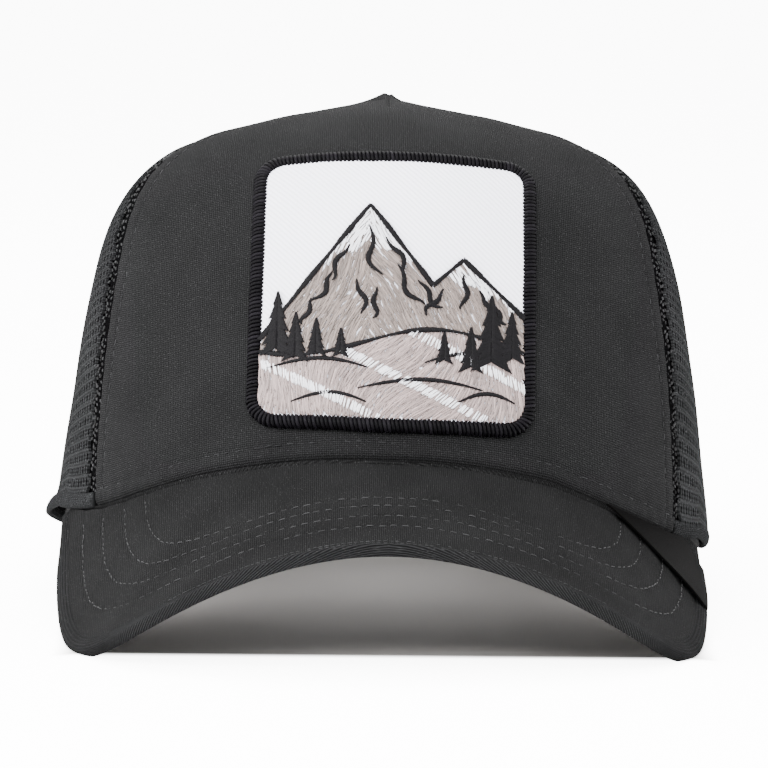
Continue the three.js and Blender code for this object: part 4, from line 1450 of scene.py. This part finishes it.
class HAT_OT_visor(bpy.types.Operator):
    """Build the curved visor, its cloth sunk along the rows of stitching, and the folded rim"""

    bl_idname = "hat.visor"
    bl_label = "Visor"

    def execute(self, context):
        settings = context.scene.hat_cloth
        material = cloth(
            "visor_cloth", settings.visor, 2000, depth=0.26 * MM, flecks=0.6, contrast=0.95, gloss=0.012
        )
        piece, across, up = add_grid("visor_cover", 210, 120)
        plan = visor_places(across, crowd_ends(up, 0.3))
        relief = visor_relief(plan, settings)
        groove = bump(1 - up - 0.026, 0.017)
        top = visor(plan, -relief + ROOT_GROOVE * groove)
        write_points(piece, rest(top))
        write_cloth_lengths(piece, plan)
        thicken(piece, VISOR_THICK)
        points = read_points(piece)
        points[len(plan):] = rest(visor(plan, VISOR_THICK + relief * 0.8))
        write_points(piece, points)
        finish(piece, material, "visor_cloth", "visor")
        self.fold_rim(settings)
        return {"FINISHED"}

    def fold_rim(self, settings):
        """The cloth that turns over the rim, cut on the slant so that its ribs run along the edge."""
        material = cloth(
            "rim_cloth", settings.tape, 2000, depth=0.3 * MM, flecks=0.6, contrast=0.95, gloss=0.01,
            ribs_fade=True,
        )
        piece, across, up = add_grid("visor_rim_fold", 480, 16)
        t = (across * 2 - 1) * BINDING_END
        ends = smooth((np.abs(t) - ENDS_FROM) / ENDS_WIDTH)
        on_top = FOLD_AT_TIP + (FOLD_AT_SIDES - FOLD_AT_TIP) * smooth(np.abs(t) / FOLD_WIDENS)
        width = np.where(up < 0.5, on_top, BINDING_WIDTH)
        width = width + (BINDING_THIN - width) * ends
        proud = BINDING_PROUD - 0.1 * MM - 0.6 * MM * ends
        turn = (up - 0.5) * math.pi
        half = VISOR_THICK / 2
        face = np.clip((np.abs(up - 0.5) - 0.22) / 0.28, 0, 1)
        inset = -proud + width * face + 0.6 * MM * (1 - np.abs(np.cos(turn))) * (face <= 0)
        depth = half + (half + 0.2 * MM) * np.clip(np.sin(turn) * 1.35, -1, 1)
        stitched = 0.14 * MM * bump(face - 0.82, 0.09)
        closing = 0.62 * MM * face ** 6
        depth -= np.sign(up - 0.5) * (stitched + closing) * (face > 0)
        plan = rim(t, 0.0) + (rim(t, 1 * MM) - rim(t, 0.0)) * (inset / MM)[:, None]
        write_points(piece, rest(visor(plan, depth)))
        places = np.linspace(0, 1, 401)
        gathered = 1 - 0.45 * (1 - smooth((places - RIBS_END) / RIBS_FADE))
        lengths = np.cumsum(gathered) * RIM_LENGTH / 2 / len(places)
        from_middle = np.interp(np.abs(across * 2 - 1), places, lengths)
        write_cloth_lengths(piece, np.stack((-from_middle, up * 10 * MM), -1))
        write_tone(piece, 1 - smooth((np.abs(t) - RIBS_END) / RIBS_FADE))
        thicken(piece, FOLD_CLOTH)
        edit(piece, face_outward)
        finish(piece, material, "tape", "visor_binding", angle=70)


def crown_path(angles, rises, lift):
    """A path over the crown at a lift above it, with its normals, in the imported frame."""
    angles, rises = np.broadcast_arrays(angles, rises)
    points = flare(crown(angles, rises), angles)
    normals = crown_normal(angles, rises)
    return rest(points + normals * lift), normals @ REST_TURN.T


def beside_seam(seam, side, offset, low, high, count=160):
    """A path at a set distance from a seam, on the side that side says."""
    rises = np.linspace(low, high, count)
    angles = seam_angle(seam, rises) + side * offset / degree_length(float(seam), rises)
    return angles, rises


class HAT_OT_topstitching(bpy.types.Operator):
    """Sew the visible rows of stitching on the visor, crown and net"""

    bl_idname = "hat.topstitching"
    bl_label = "Topstitching"

    def execute(self, context):
        settings = context.scene.hat_stitch
        light = thread("visor_thread", tint(settings.light, 0.3), settings.light, 0.6)
        dark = thread("crown_thread", tint(settings.dark, 0.4), settings.dark, 0.6)
        knots = thread("knot_thread", (0.002, 0.002, 0.002), (0.022, 0.022, 0.023), 0.6)
        gauge = (settings.pitch, settings.length, settings.width)
        rows = []
        for number, row in enumerate(VISOR_ROWS):
            rows.append(self.visor_row(row, gauge, number))
        fine = (1.4 * MM, 1.05 * MM, settings.width * 0.75)
        for number, inset in enumerate(EDGE_ROWS):
            plan = rim(np.linspace(-EDGE_ROW_END, EDGE_ROW_END, 300), inset)
            points = rest(visor(plan, -0.1 * MM))
            up = np.broadcast_to(REST_TURN @ np.array((0, 0, 1.0)), points.shape)
            rows.append(stitch_row(points, up, *fine, 0.15 * MM, 20 + number))
        stitches("visor_stitching", rows, light, "thread_black")

        rows = []
        knot = settings.chain_knot
        for side in (-1, 1):
            for number, offset in enumerate(CHAIN_OFFSETS):
                seam = beside_seam(side * SEAM_FRONT, side, offset, 0.012 + 0.002 * number, 0.8)
                path = crown_path(*seam, -CHAIN_INSET)
                seed = 90 + 3 * side + number
                rows.append(stitch_row(*path, settings.chain_pitch, knot * 1.4, knot, 0.1 * MM, seed))
        stitches("seam_chain", rows, knots, "thread_black")

        rows = []
        angles = np.linspace(-SEAM_FRONT + 1.5, SEAM_FRONT - 1.5, 400)
        rises = rise_at_height(angles, hem_height(angles) + HEM_STITCH)
        rows.append(stitch_row(*crown_path(angles, rises, -0.12 * MM), *gauge, 0.3 * MM, 30))
        for side in (-1, 1):
            seam = side * SEAM_FRONT
            path = crown_path(*beside_seam(seam, -side, SEAM_STITCH, 0.01, 0.93), -0.12 * MM)
            rows.append(stitch_row(*path, *gauge, 0.3 * MM, 40 + side))
            for offset in (-BESIDE_STITCH, BESIDE_STITCH):
                path = crown_path(*beside_seam(side * SEAM_SIDE, 1, offset, 0.05, 0.9), 0.1 * MM)
                rows.append(stitch_row(*path, *gauge, 0.3 * MM, 60 + side))
            low = float(rise_at_height(REAR, ARCH_HEIGHT + ARCH_TAPE + 1 * MM))
            path = crown_path(*beside_seam(REAR, side, BESIDE_STITCH, low, 0.9), 0.1 * MM)
            rows.append(stitch_row(*path, *gauge, 0.3 * MM, 70 + side))
        stitches("crown_stitching", rows, dark, "thread_black")
        return {"FINISHED"}

    def visor_row(self, row, gauge, seed):
        """A row of stitching that follows the visor's outline, clear of the crown."""
        reach, half, squareness = row
        turn = np.linspace(-math.pi / 2, math.pi / 2, 1400)
        power = 2 / squareness
        x = half * np.abs(np.sin(turn)) ** power * np.sign(turn)
        y = ROW_ROOT_Y + (reach - ROW_ROOT_Y) * np.maximum(np.cos(turn), 0) ** power
        plan = np.stack((x, y), -1)
        beyond = (x / HALF_WIDTH) ** 2 + (y / FRONT_REACH) ** 2
        plan = plan[(beyond > 1.03 ** 2) & (y < 0)]
        points = rest(visor(plan, 0.12 * MM))
        up = np.broadcast_to(REST_TURN @ np.array((0, 0, 1.0)), points.shape)
        return stitch_row(points, up, *gauge, 0.3 * MM, seed)


class HAT_OT_rear_and_band(bpy.types.Operator):
    """Build the sweatband, the tape round the rear opening and the strap across it"""

    bl_idname = "hat.rear_and_band"
    bl_label = "Sweatband, Rear Tape and Strap"

    def execute(self, context):
        settings = context.scene.hat_cloth
        self.sweatband(settings)
        self.arch_tape(settings)
        self.strap(settings)
        return {"FINISHED"}

    def sweatband(self, settings):
        material = cloth("sweatband_twill", settings.band, 1500, twill=1.0, depth=0.1 * MM, flecks=0.2)
        piece, across, up = add_grid("sweatband_twill", 180, 16)
        angle = (across * 2 - 1) * BAND_ANGLE
        height = BAND_FOOT + (BAND_HEIGHT - BAND_FOOT) * up
        rise = rise_at_height(angle, hem_height(angle) + height)
        inset = BAND_INSET + 0.25 * MM * np.sin(angle / 3.1) * up + 0.3 * MM * bump(height - 3 * MM, 0.8 * MM)
        points = crown(angle, rise) - crown_normal(angle, rise) * inset[:, None]
        write_points(piece, rest(points))
        write_cloth_lengths(piece, np.stack((angle * 1.62 * MM, height), -1))
        thicken(piece, BAND_THICK)
        finish(piece, material, "band_cloth", "sweatband")

    def arch_tape(self, settings):
        material = cloth("rear_tape", settings.tape, 1500, twill=1.0, depth=0.1 * MM, flecks=0.2)
        piece, across, up = add_grid("rear_opening_tape", 160, 26)
        turn = across * math.pi
        loop = up * 2 * math.pi
        squared = np.sign(np.cos(loop)) * np.abs(np.cos(loop)) ** 0.45
        margin = ARCH_TAPE / 2 - ARCH_TAPE / 2 * squared
        out = np.sign(np.sin(loop)) * np.abs(np.sin(loop)) ** 0.6 * (ARCH_TAPE_THICK / 2 + 0.15 * MM)
        x = (ARCH_HALF_WIDTH + margin) * np.cos(turn)
        z = np.maximum((ARCH_HEIGHT + margin) * np.sin(turn), 0)
        angle, rise = crown_at(x, z, behind=True)
        groove = 0.2 * MM * bump(margin - 5.2 * MM, 0.6 * MM) * np.sign(out)
        points = crown(angle, rise)
        points = points + crown_normal(angle, rise) * (out - groove - ARCH_TAPE_THICK / 2)[:, None]
        write_points(piece, rest(points))
        write_cloth_lengths(piece, np.stack((across * 0.14, up * 18 * MM), -1))
        edit(piece, merge_doubles, fill_ends, select_mesh, face_outward)
        finish(piece, material, "tape", "arch_binding")

    def strap(self, settings):
        material = grained("strap_plastic", settings.strap, 0.38, grain=700.0, depth=0.03 * MM, specular=0.08)
        piece, across, up = add_grid("snap_strap_moulded", 120, 24)
        span = 2 * (REAR - STRAP_ANGLE)
        angle = STRAP_ANGLE + span * across
        angle = np.where(angle > 180, angle - 360, angle)
        height = STRAP_HEIGHT * up - STRAP_DROP
        rise = rise_at_height(np.abs(angle), np.maximum(height, 0))
        points = crown(np.abs(angle), rise)
        normal = crown_normal(np.abs(angle), rise)
        points = points - normal * STRAP_INSET
        points[:, 2] += np.minimum(height, 0)
        points[:, 0] *= np.where(angle < 0, -1, 1)
        write_points(piece, rest(points))
        write_cloth_lengths(piece, np.stack((across * 0.11, up * STRAP_HEIGHT), -1))
        thicken(piece, STRAP_THICK)
        select_only(piece)
        bpy.ops.object.modifier_add(type="BEVEL")
        piece.modifiers[-1].width = 0.35 * MM
        piece.modifiers[-1].segments = 2
        piece.modifiers[-1].angle_limit = math.radians(50)
        apply_modifiers(piece)
        edit(piece, face_outward)
        finish(piece, material, "strap_plastic", "snap_strap")


def inside_round_rectangle(flat, half_width, half_height, corner):
    away = np.maximum(np.abs(flat) - np.array((half_width - corner, half_height - corner)), 0)
    return np.linalg.norm(away, axis=-1) < corner


def hill_line(a):
    return -15 * MM + 3.5 * MM * np.sin(a / (11 * MM) + 0.6)


def ridge_line(a):
    main = 21 * MM - 1.35 * np.abs(a + 6 * MM)
    second = 7 * MM - 0.95 * np.abs(a - 17 * MM)
    return np.maximum(np.maximum(main, second), hill_line(a) + 1.5 * MM)


def snow_line(a):
    zigzag = 2.2 * MM * np.abs(((a / MM / 6.5) % 1) * 2 - 1)
    return 9.5 * MM - 0.45 * np.abs(a + 6 * MM) + zigzag


def in_field(flat):
    return inside_round_rectangle(flat, FIELD_HALF_WIDTH, FIELD_HALF_HEIGHT, FIELD_CORNER)


def fill_stitches(inside, heading, length, gap, chance):
    """Stitches that fill a shape row on row: each starts and ends inside it."""
    half = np.array((FIELD_HALF_WIDTH, FIELD_HALF_HEIGHT)) + 2 * MM
    columns = int(2 * half[0] / gap)
    rows = int(2 * half[1] / (length * 0.8))
    column, row = np.meshgrid(np.arange(columns), np.arange(rows))
    brick = ((column * 0.37) % 1)[..., None] * np.array((0, length * 0.8))
    middles = np.stack((column * gap, row * length * 0.8), -1) - half + brick
    middles = middles.reshape(-1, 2) + chance.normal(0, 0.12, (columns * rows, 2)) * np.array((gap, length))
    turn = heading(middles) + chance.normal(0, 0.07, len(middles))
    direction = np.stack((np.cos(turn), np.sin(turn)), -1)
    sizes = length * (1 + chance.normal(0, 0.16, len(middles)))
    shares = np.linspace(-0.5, 0.5, 13)
    samples = middles[:, None, :] + direction[:, None, :] * (shares[None, :] * sizes[:, None])[..., None]
    held = inside(samples)
    kept = held[:, 6] & (held.sum(axis=1) > 3)
    backward = np.cumprod(held[:, 6::-1], axis=1).sum(axis=1) - 1
    forward = np.cumprod(held[:, 6:], axis=1).sum(axis=1) - 1
    index = np.arange(len(middles))
    starts = samples[index, 6 - backward]
    ends = samples[index, 6 + forward]
    kept &= np.linalg.norm(ends - starts, axis=1) > 0.7 * MM
    return starts[kept], ends[kept]


def satin_line(points, width, gap, slant, chance):
    """Short stitches side by side across a line, which makes a raised cord of thread."""
    distance = distances(points)
    places = np.arange(0, distance[-1], gap)
    middle = along_line(points, distance, places)
    ahead = along_line(points, distance, places + gap)
    behind = along_line(points, distance, places - gap)
    along = unit(ahead - behind)
    turn = math.pi / 2 + slant
    across = np.stack((
        along[:, 0] * math.cos(turn) - along[:, 1] * math.sin(turn),
        along[:, 0] * math.sin(turn) + along[:, 1] * math.cos(turn),
    ), -1)
    share = places / distance[-1]
    size = width(share) * (1 + chance.normal(0, 0.06, len(places)))
    reach = across * size[:, None] / 2
    return middle - reach, middle + reach


class HAT_OT_patch(bpy.types.Operator):
    """Build the embroidered patch: twill ground, overlocked border and a mountain scene in thread"""

    bl_idname = "hat.patch"
    bl_label = "Patch"

    def execute(self, context):
        settings = context.scene.hat_patch
        self.chance = np.random.default_rng(settings.seed)
        self.ground(settings)
        self.border(settings)
        self.scenery(settings)
        return {"FINISHED"}

    def ground(self, settings):
        material = cloth(
            "patch_twill", settings.ground, 1350, twill=1.0, depth=0.12 * MM, flecks=0.0, contrast=0.12
        )
        piece, across, up = add_grid("patch_ground_twill", 60, 62)
        flat = np.stack((across * 2 - 1, up * 2 - 1), -1)
        flat = flat * np.array((FIELD_HALF_WIDTH, FIELD_HALF_HEIGHT))
        wave = 0.06 * MM * np.sin(flat[:, 0] / (3.7 * MM)) * np.sin(flat[:, 1] / (4.4 * MM))
        write_points(piece, rest(on_patch(flat, CLEARANCE + GROUND_THICK + wave)))
        write_cloth_lengths(piece, flat)
        thicken(piece, GROUND_THICK)
        finish(piece, material, "patch_cloth", "patch_ground")

    def border(self, settings):
        """A raised cord wrapped in slanting black thread, a few wraps painted light as glints."""
        colour = settings.black
        painted_glint = tint(colour, 6)
        material = thread("border_thread", colour, painted_glint, roughness=0.28, specular=0.025)
        points, outward, perimeter = round_rectangle(
            PATCH_HALF_WIDTH - BORDER_WIDTH / 2, PATCH_HALF_HEIGHT - BORDER_WIDTH / 2,
            PATCH_CORNER - BORDER_WIDTH / 2, BORDER_STEPS,
        )
        closed = np.concatenate((points, points[:1]))
        closed_out = np.concatenate((outward, outward[:1]))
        count = int(perimeter / settings.wrap)
        order = np.linspace(-0.5, 0.5, 9)
        # a few wraps, picked at random, take the painted glint colour: a painted highlight
        tones = self.chance.random(count) ** 2.5
        stations = np.arange(len(closed)) / (len(closed) - 1)
        share = (np.arange(count)[:, None] + 0.5) / count + order[None, :] * WRAP_SLANT / perimeter
        share = share % 1
        centre = along_line(closed, stations, share)
        direction = unit(along_line(closed_out, stations, share))
        half = BORDER_WIDTH / 2 * (1 + self.chance.normal(0, 0.025, count))[:, None]
        turn = order * math.pi * 1.04
        side = np.sin(turn)[None, :] * half
        rise = np.maximum(np.cos(turn), 0)[None, :] ** 0.75
        flat = centre + direction * side[..., None]
        height = CLEARANCE * 0.2 + rise * (BORDER_THICK - 0.35 * MM)
        path = on_patch(flat, height)
        steps = unit(np.gradient(path, axis=1))
        core = on_patch(centre, np.full(height.shape, BORDER_THICK * 0.3))
        away = unit(path - core)
        sideways = unit(np.cross(steps, away))
        ring = np.linspace(0, 2 * math.pi, 6, endpoint=False)
        radius = settings.wrap * 0.47
        taper = np.where(np.abs(order) > 0.49, 0.5, 1.0)
        tube = path[:, :, None, :] + radius * taper[None, :, None, None] * (
            sideways[:, :, None, :] * np.cos(ring)[None, None, :, None]
            + away[:, :, None, :] * np.sin(ring)[None, None, :, None] * 0.8
        )
        tube_faces = []
        sides = len(ring)
        for station in range(len(order) - 1):
            for spoke in range(sides):
                after = (spoke + 1) % sides
                low, high = station * sides, (station + 1) * sides
                tube_faces.append((low + spoke, low + after, high + after, high + spoke))
        tube_faces.append(tuple(range(sides))[::-1])
        tube_faces.append(tuple((len(order) - 1) * sides + spoke for spoke in range(sides)))
        flat_tube = tube.reshape(count, -1, 3)
        along = np.repeat(order * 6 * MM, sides)
        around = np.tile(ring / (2 * math.pi), len(order))
        lengths = np.broadcast_to(np.stack((along, around * MM), -1), (count, len(along), 2))
        piece = copies_of("patch_border_thread", tube_faces, rest(flat_tube), tones, lengths)
        edit(piece, face_outward)

        base, across, up = add_grid("patch_border_core", 240, 14)
        spot = across % 1
        centre = along_line(closed, stations, spot)
        direction = unit(along_line(closed_out, stations, spot))
        loop = up * 2 * math.pi
        side = np.sin(loop) * (BORDER_WIDTH / 2 - 0.3 * MM)
        height = BORDER_THICK * 0.42 + np.cos(loop) * BORDER_THICK * 0.38
        write_points(base, rest(on_patch(centre + direction * side[:, None], height)))
        write_cloth_lengths(base, np.stack((across * perimeter, up * 8 * MM), -1))
        write_tone(base, np.zeros(len(base.data.vertices)))
        edit(base, merge_doubles, face_outward)
        finish(join([piece, base]), material, "thread_black", "patch_border", angle=80)

    def embroider(self, name, groups, dark, light, slot, *nodes, roughness=0.42, specular=0.3):
        """One piece of thread from groups of starts, ends, thread width and height above the cloth."""
        parts = []
        for number, (starts, ends, width, foot, arch) in enumerate(groups):
            tones = np.clip(self.chance.normal(0.5, 0.26, len(starts)), 0, 1)
            feet = foot + self.chance.random(len(starts)) * 0.12 * MM
            parts.append(lay_threads(
                f"{name}_{number}", starts, ends, width, width * 0.85, on_patch, feet, tones, arch
            ))
        material = thread(name, dark, light, roughness, specular)
        return finish(join(parts), material, slot, *nodes, angle=80)

    def scenery(self, settings):
        """Hills, peaks and snow laid stitch by stitch, and the dark lines over them."""
        width = settings.thread
        gap = width * 0.86
        low = THREAD_FOOT

        def below(line):
            return lambda flat: in_field(flat) & (flat[..., 1] < line(flat[..., 0]))

        def between(lower, upper):
            return lambda flat: (
                in_field(flat) & (flat[..., 1] > lower(flat[..., 0])) & (flat[..., 1] < upper(flat[..., 0]))
            )

        def hill_heading(flat):
            return 1.15 + 0.55 * np.sin(flat[:, 0] / (9 * MM) + flat[:, 1] / (13 * MM))

        def cross_heading(flat):
            return hill_heading(flat) + 0.35

        def peak_heading(flat):
            return np.where(flat[:, 0] < -6 * MM, 1.05, 2.05) + 0.2 * np.sin(flat[:, 1] / (4 * MM))

        def slope_line(a):
            return np.minimum(ridge_line(a), snow_line(a))

        def slope_heading(flat):
            return peak_heading(flat) + 0.18

        def drifts(flat):
            wave = np.sin(flat[..., 0] / (4.3 * MM) + flat[..., 1] / (2.1 * MM))
            return below(hill_line)(flat) & (wave > 0.72)

        def layer(inside, heading, length, spacing, thick, foot, arch):
            return (*fill_stitches(inside, heading, length, spacing, self.chance), thick, foot, arch)

        slopes = between(hill_line, slope_line)
        hills = [
            layer(below(hill_line), cross_heading, 4.2 * MM, gap, width, low, 0.05 * MM),
            layer(below(hill_line), hill_heading, 5.2 * MM, gap, width, low + 0.22 * MM, 0.12 * MM),
        ]
        self.embroider(
            "patch_hills_thread", hills, tint(settings.mauve, 0.4), tint(settings.mauve, 1.6),
            "thread_mauve", "patch_hills",
        )
        peaks = [
            layer(between(hill_line, ridge_line), peak_heading, 4.6 * MM, gap, width, low, 0.08 * MM),
            layer(slopes, slope_heading, 5 * MM, gap * 1.3, width, low + 0.2 * MM, 0.12 * MM),
        ]
        self.embroider(
            "patch_peaks_thread", peaks, tint(settings.taupe, 0.35), tint(settings.taupe, 1.8),
            "thread_taupe", "patch_peaks",
        )
        capped = between(snow_line, ridge_line)
        snow = [
            layer(capped, peak_heading, 4.4 * MM, gap, width, low + 0.3 * MM, 0.12 * MM),
            layer(drifts, hill_heading, 4.5 * MM, gap, width * 0.9, low + 0.5 * MM, 0.15 * MM),
        ]
        self.embroider(
            "patch_snow_thread", snow, tint(settings.white, 0.72), settings.white,
            "thread_white", "patch_snow",
        )
        self.outlines(settings)

    def outlines(self, settings):
        """Black satin lines along the ridges and hills, dark streaks on the slopes and rows of firs."""
        chance = self.chance
        width = settings.thread
        gap = width * 0.7
        high = THREAD_FOOT + 0.5 * MM
        groups = []

        def line(points, thick, slant=0.35):
            inside = in_field(points)
            if inside.sum() < 3:
                return
            start, end = satin_line(points[inside], thick, gap, slant, chance)
            groups.append((start, end, width, high, 0.2 * MM))

        a = np.linspace(-FIELD_HALF_WIDTH, FIELD_HALF_WIDTH, 400)
        line(np.stack((a, ridge_line(a)), -1), lambda share: 1.3 * MM + 0.3 * MM * np.sin(share * 40))
        line(np.stack((a, hill_line(a)), -1), lambda share: 1.1 * MM + 0.4 * MM * np.sin(share * 23))
        for start_a, start_u, reach, lean in STREAKS:
            share = np.linspace(0, 1, 30)
            turn = lean + 0.16 * np.sin(share * 7 + start_a)
            streak = np.stack((
                start_a * MM + reach * MM * share * np.cos(turn),
                start_u * MM + reach * MM * share * np.sin(turn),
            ), -1)
            line(streak, lambda along: 0.35 * MM + 1.1 * MM * np.sin(math.pi * np.clip(along, 0, 1)))
        for start_a, low_u, reach in FOLDS:
            share = np.linspace(0, 1, 40)
            fold = np.stack((
                start_a * MM + reach * MM * share,
                low_u * MM + 2.6 * MM * np.sin(share * 3.0),
            ), -1)
            line(fold, lambda along: 0.3 * MM + 0.9 * MM * np.sin(math.pi * np.clip(along, 0, 1)))
        for foot_a, tall, foot_u in FIRS:
            self.fir(groups, foot_a * MM, foot_u * MM, tall * MM, width, high)
        black = settings.black
        light = (black[0] * 3, black[1] * 2.8, black[2] * 3)
        self.embroider(
            "patch_outline_thread", groups, black, light, "thread_black", roughness=0.45, specular=0.06,
        )

    def fir(self, groups, foot_a, foot_u, tall, width, high):
        """A fir tree of slanting stitches in tiers, narrow at its top."""
        share = np.arange(0, 1, width * 0.62 / tall)
        tier = (share * 5) % 1
        reach = tall * 0.27 * (1 - share) ** 0.85 * (0.62 + 0.45 * (1 - tier)) + 0.25 * MM
        trunk = np.stack((np.full(len(share), foot_a), foot_u + share * tall), -1)
        for side in (-1, 1):
            tips = trunk + np.stack((side * reach, -reach * 0.55), -1)
            starts = trunk - np.stack((np.full(len(share), side * 0.15 * MM), np.zeros(len(share))), -1)
            held = in_field(tips)
            groups.append((starts[held], tips[held], width, high + 0.1 * MM, 0.25 * MM))


class HAT_OT_label(bpy.types.Operator):
    """Build the plain ribbon folded over the visor's side"""

    bl_idname = "hat.label"
    bl_label = "Ribbon Label"

    def execute(self, context):
        settings = context.scene.hat_cloth
        material = cloth(
            "label_ribbon", settings.ribbon, 2600, twill=0.4, depth=0.05 * MM,
            roughness=0.6, flecks=0.0, gloss=0.004,
        )
        piece, across, up = add_grid("visor_label_ribbon", 40, 60)
        seam = root(LABEL_SEAM[0] + (LABEL_SEAM[1] - LABEL_SEAM[0]) * across, 0.0)
        seam = seam * (1 + LABEL_SEAM_GAP / np.linalg.norm(seam, axis=1, keepdims=True))
        edge = rim(LABEL_RIM[0] + (LABEL_RIM[1] - LABEL_RIM[0]) * across, LABEL_RIM_INSET)
        plan = seam * (1 - up)[:, None] + edge * up[:, None]
        wave = 0.12 * MM * np.sin(across * math.pi) + 0.1 * MM * np.sin(up * 9)
        depth = -(LABEL_LIFT + LABEL_THICK + wave)
        write_points(piece, rest(visor(plan, depth)))
        write_cloth_lengths(piece, np.stack((across * 14 * MM, up * 30 * MM), -1))
        thicken(piece, LABEL_THICK)
        edit(piece, face_outward)
        finish(piece, material, "ribbon", "visor_label")
        return {"FINISHED"}


class HAT_OT_stage(bpy.types.Operator):
    """Set the pale floor, the soft light and the camera"""

    bl_idname = "hat.stage"
    bl_label = "Floor, Light and Camera"

    def execute(self, context):
        settings = context.scene.hat_stage
        self.camera(context, settings)
        self.floor(settings)
        self.lights(context, settings)
        return {"FINISHED"}

    def camera(self, context, settings):
        aim_y = (cad_low[1] + cad_high[1]) / 2 + AIM_BEHIND_MIDDLE
        aim = Vector((settings.aim_x, aim_y, settings.aim_height))
        level = settings.distance * math.cos(settings.elevation)
        place = aim + Vector((
            -level * math.sin(settings.turn),
            -level * math.cos(settings.turn),
            settings.distance * math.sin(settings.elevation),
        ))
        facing = (aim - place).to_track_quat("-Z", "Y") @ Quaternion((0, 0, 1), settings.roll)
        bpy.ops.object.camera_add(location=place, rotation=facing.to_euler())
        camera = bpy.context.object
        camera.data.lens = settings.lens
        camera.data.sensor_width = SENSOR_WIDTH
        camera.data.clip_start = 0.05
        context.scene.camera = camera

    def floor(self, settings):
        """A pale floor with a painted shadow, darker in colour under the hat, and white in the open as far as
        the camera sees.
        """
        deselect()
        bpy.ops.mesh.primitive_grid_add(x_subdivisions=24, y_subdivisions=24, size=FLOOR_SIZE)
        floor = bpy.context.object
        floor.name = "stage_floor"
        material, tree, shader = new_material("stage_paper")
        place = put(tree, "ShaderNodeTexCoord").outputs["Object"]
        noise = put(tree, "ShaderNodeTexNoise", {"Vector": place, "Scale": 30.0})
        pale = tuple(settings.floor)
        paper = mix_colours(tree, noise.outputs[0], tuple(value * 0.985 for value in pale), pale)
        parts = put(tree, "ShaderNodeSeparateXYZ", {0: place})
        # the footprint under the hat is a painted shadow: its own darker colour, and no glow
        aside = calc(tree, "SUBTRACT", calc(tree, "ABSOLUTE", parts.outputs[0]), PAINTED_SHADOW_HALF_WIDTH)
        ahead = calc(tree, "SUBTRACT", calc(tree, "MULTIPLY", parts.outputs[1], -1.0), PAINTED_SHADOW_FRONT)
        behind = calc(tree, "SUBTRACT", parts.outputs[1], PAINTED_SHADOW_BACK)
        away = calc(tree, "MAXIMUM", aside, calc(tree, "MAXIMUM", ahead, behind))
        edge = {0: away, 1: 0.0, 2: PAINTED_SHADOW_EDGE}
        outside_painted_shadow = put(tree, "ShaderNodeMapRange", edge, interpolation_type="SMOOTHSTEP").outputs[0]
        tree.links.new(mix_colours(tree, outside_painted_shadow, tuple(settings.under), paper), shader.inputs["Base Color"])
        seen = put(tree, "ShaderNodeLightPath").outputs["Is Camera Ray"]
        glow = calc(tree, "MULTIPLY", calc(tree, "MULTIPLY", outside_painted_shadow, seen), settings.glow)
        tree.links.new(glow, shader.inputs["Emission Strength"])
        shader.inputs["Emission Color"].default_value = (1, 1, 1, 1)
        shader.inputs["Roughness"].default_value = 0.8
        floor.data.materials.append(material)
        select_only(floor)
        bpy.ops.object.shade_smooth()
        deselect()

    def lights(self, context, settings):
        target = Vector((0, 0, 50 * MM))
        for name, place, size, power in (
            ("front", (-0.35, -1.5, 1.3), 1.1, settings.key),
            ("left", (-1.4, -0.6, 0.7), 0.9, settings.fill),
            ("right", (1.4, -0.5, 0.8), 0.9, settings.fill * 0.4),
            ("top", (-0.2, 0.5, 1.8), 1.4, settings.fill),
        ):
            facing = (target - Vector(place)).to_track_quat("-Z", "Y")
            bpy.ops.object.light_add(type="AREA", location=place, rotation=facing.to_euler())
            lamp = bpy.context.object
            lamp.name = f"light_{name}"
            lamp.data.size = size
            lamp.data.energy = power
        world = bpy.data.worlds.new("surroundings")
        world.use_nodes = True
        world.node_tree.nodes["Background"].inputs[0].default_value = (1, 1, 1, 1)
        world.node_tree.nodes["Background"].inputs[1].default_value = settings.sky
        context.scene.world = world


class HAT_PT_sidebar(bpy.types.Panel):
    """Sizes, colours and steps of the hat"""

    bl_idname = "HAT_PT_sidebar"
    bl_label = "Trucker Hat"
    bl_space_type = "VIEW_3D"
    bl_region_type = "UI"
    bl_category = "Hat"

    def draw(self, context):
        layout = self.layout
        for title, group in SETTINGS:
            box = layout.box()
            box.label(text=title)
            settings = getattr(context.scene, group)
            for name in settings.__annotations__:
                box.prop(settings, name)
        for step in STEPS:
            layout.operator(step.bl_idname)


SETTINGS = (
    ("Cloth", "hat_cloth"),
    ("Net", "hat_net"),
    ("Stitching", "hat_stitch"),
    ("Patch", "hat_patch"),
    ("Stage", "hat_stage"),
)
GROUPS = (ClothSettings, NetSettings, StitchSettings, PatchSettings, StageSettings)
STEPS = (
    HAT_OT_stage,
    HAT_OT_front_panel,
    HAT_OT_net_panels,
    HAT_OT_visor,
    HAT_OT_topstitching,
    HAT_OT_rear_and_band,
    HAT_OT_patch,
    HAT_OT_label,
)


def register():
    for kind in (*GROUPS, *STEPS, HAT_PT_sidebar):
        bpy.utils.register_class(kind)
    for (_, name), group in zip(SETTINGS, GROUPS):
        setattr(bpy.types.Scene, name, PointerProperty(type=group))


def unregister():
    for _, name in SETTINGS:
        delattr(bpy.types.Scene, name)
    for kind in reversed((*GROUPS, *STEPS, HAT_PT_sidebar)):
        bpy.utils.unregister_class(kind)


def main():
    register()
    bpy.ops.hat.stage()
    bpy.ops.hat.front_panel()
    bpy.ops.hat.net_panels()
    bpy.ops.hat.visor()
    bpy.ops.hat.topstitching()
    bpy.ops.hat.rear_and_band()
    bpy.ops.hat.patch()
    bpy.ops.hat.label()
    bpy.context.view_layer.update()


if __name__ == "__main__":
    main()
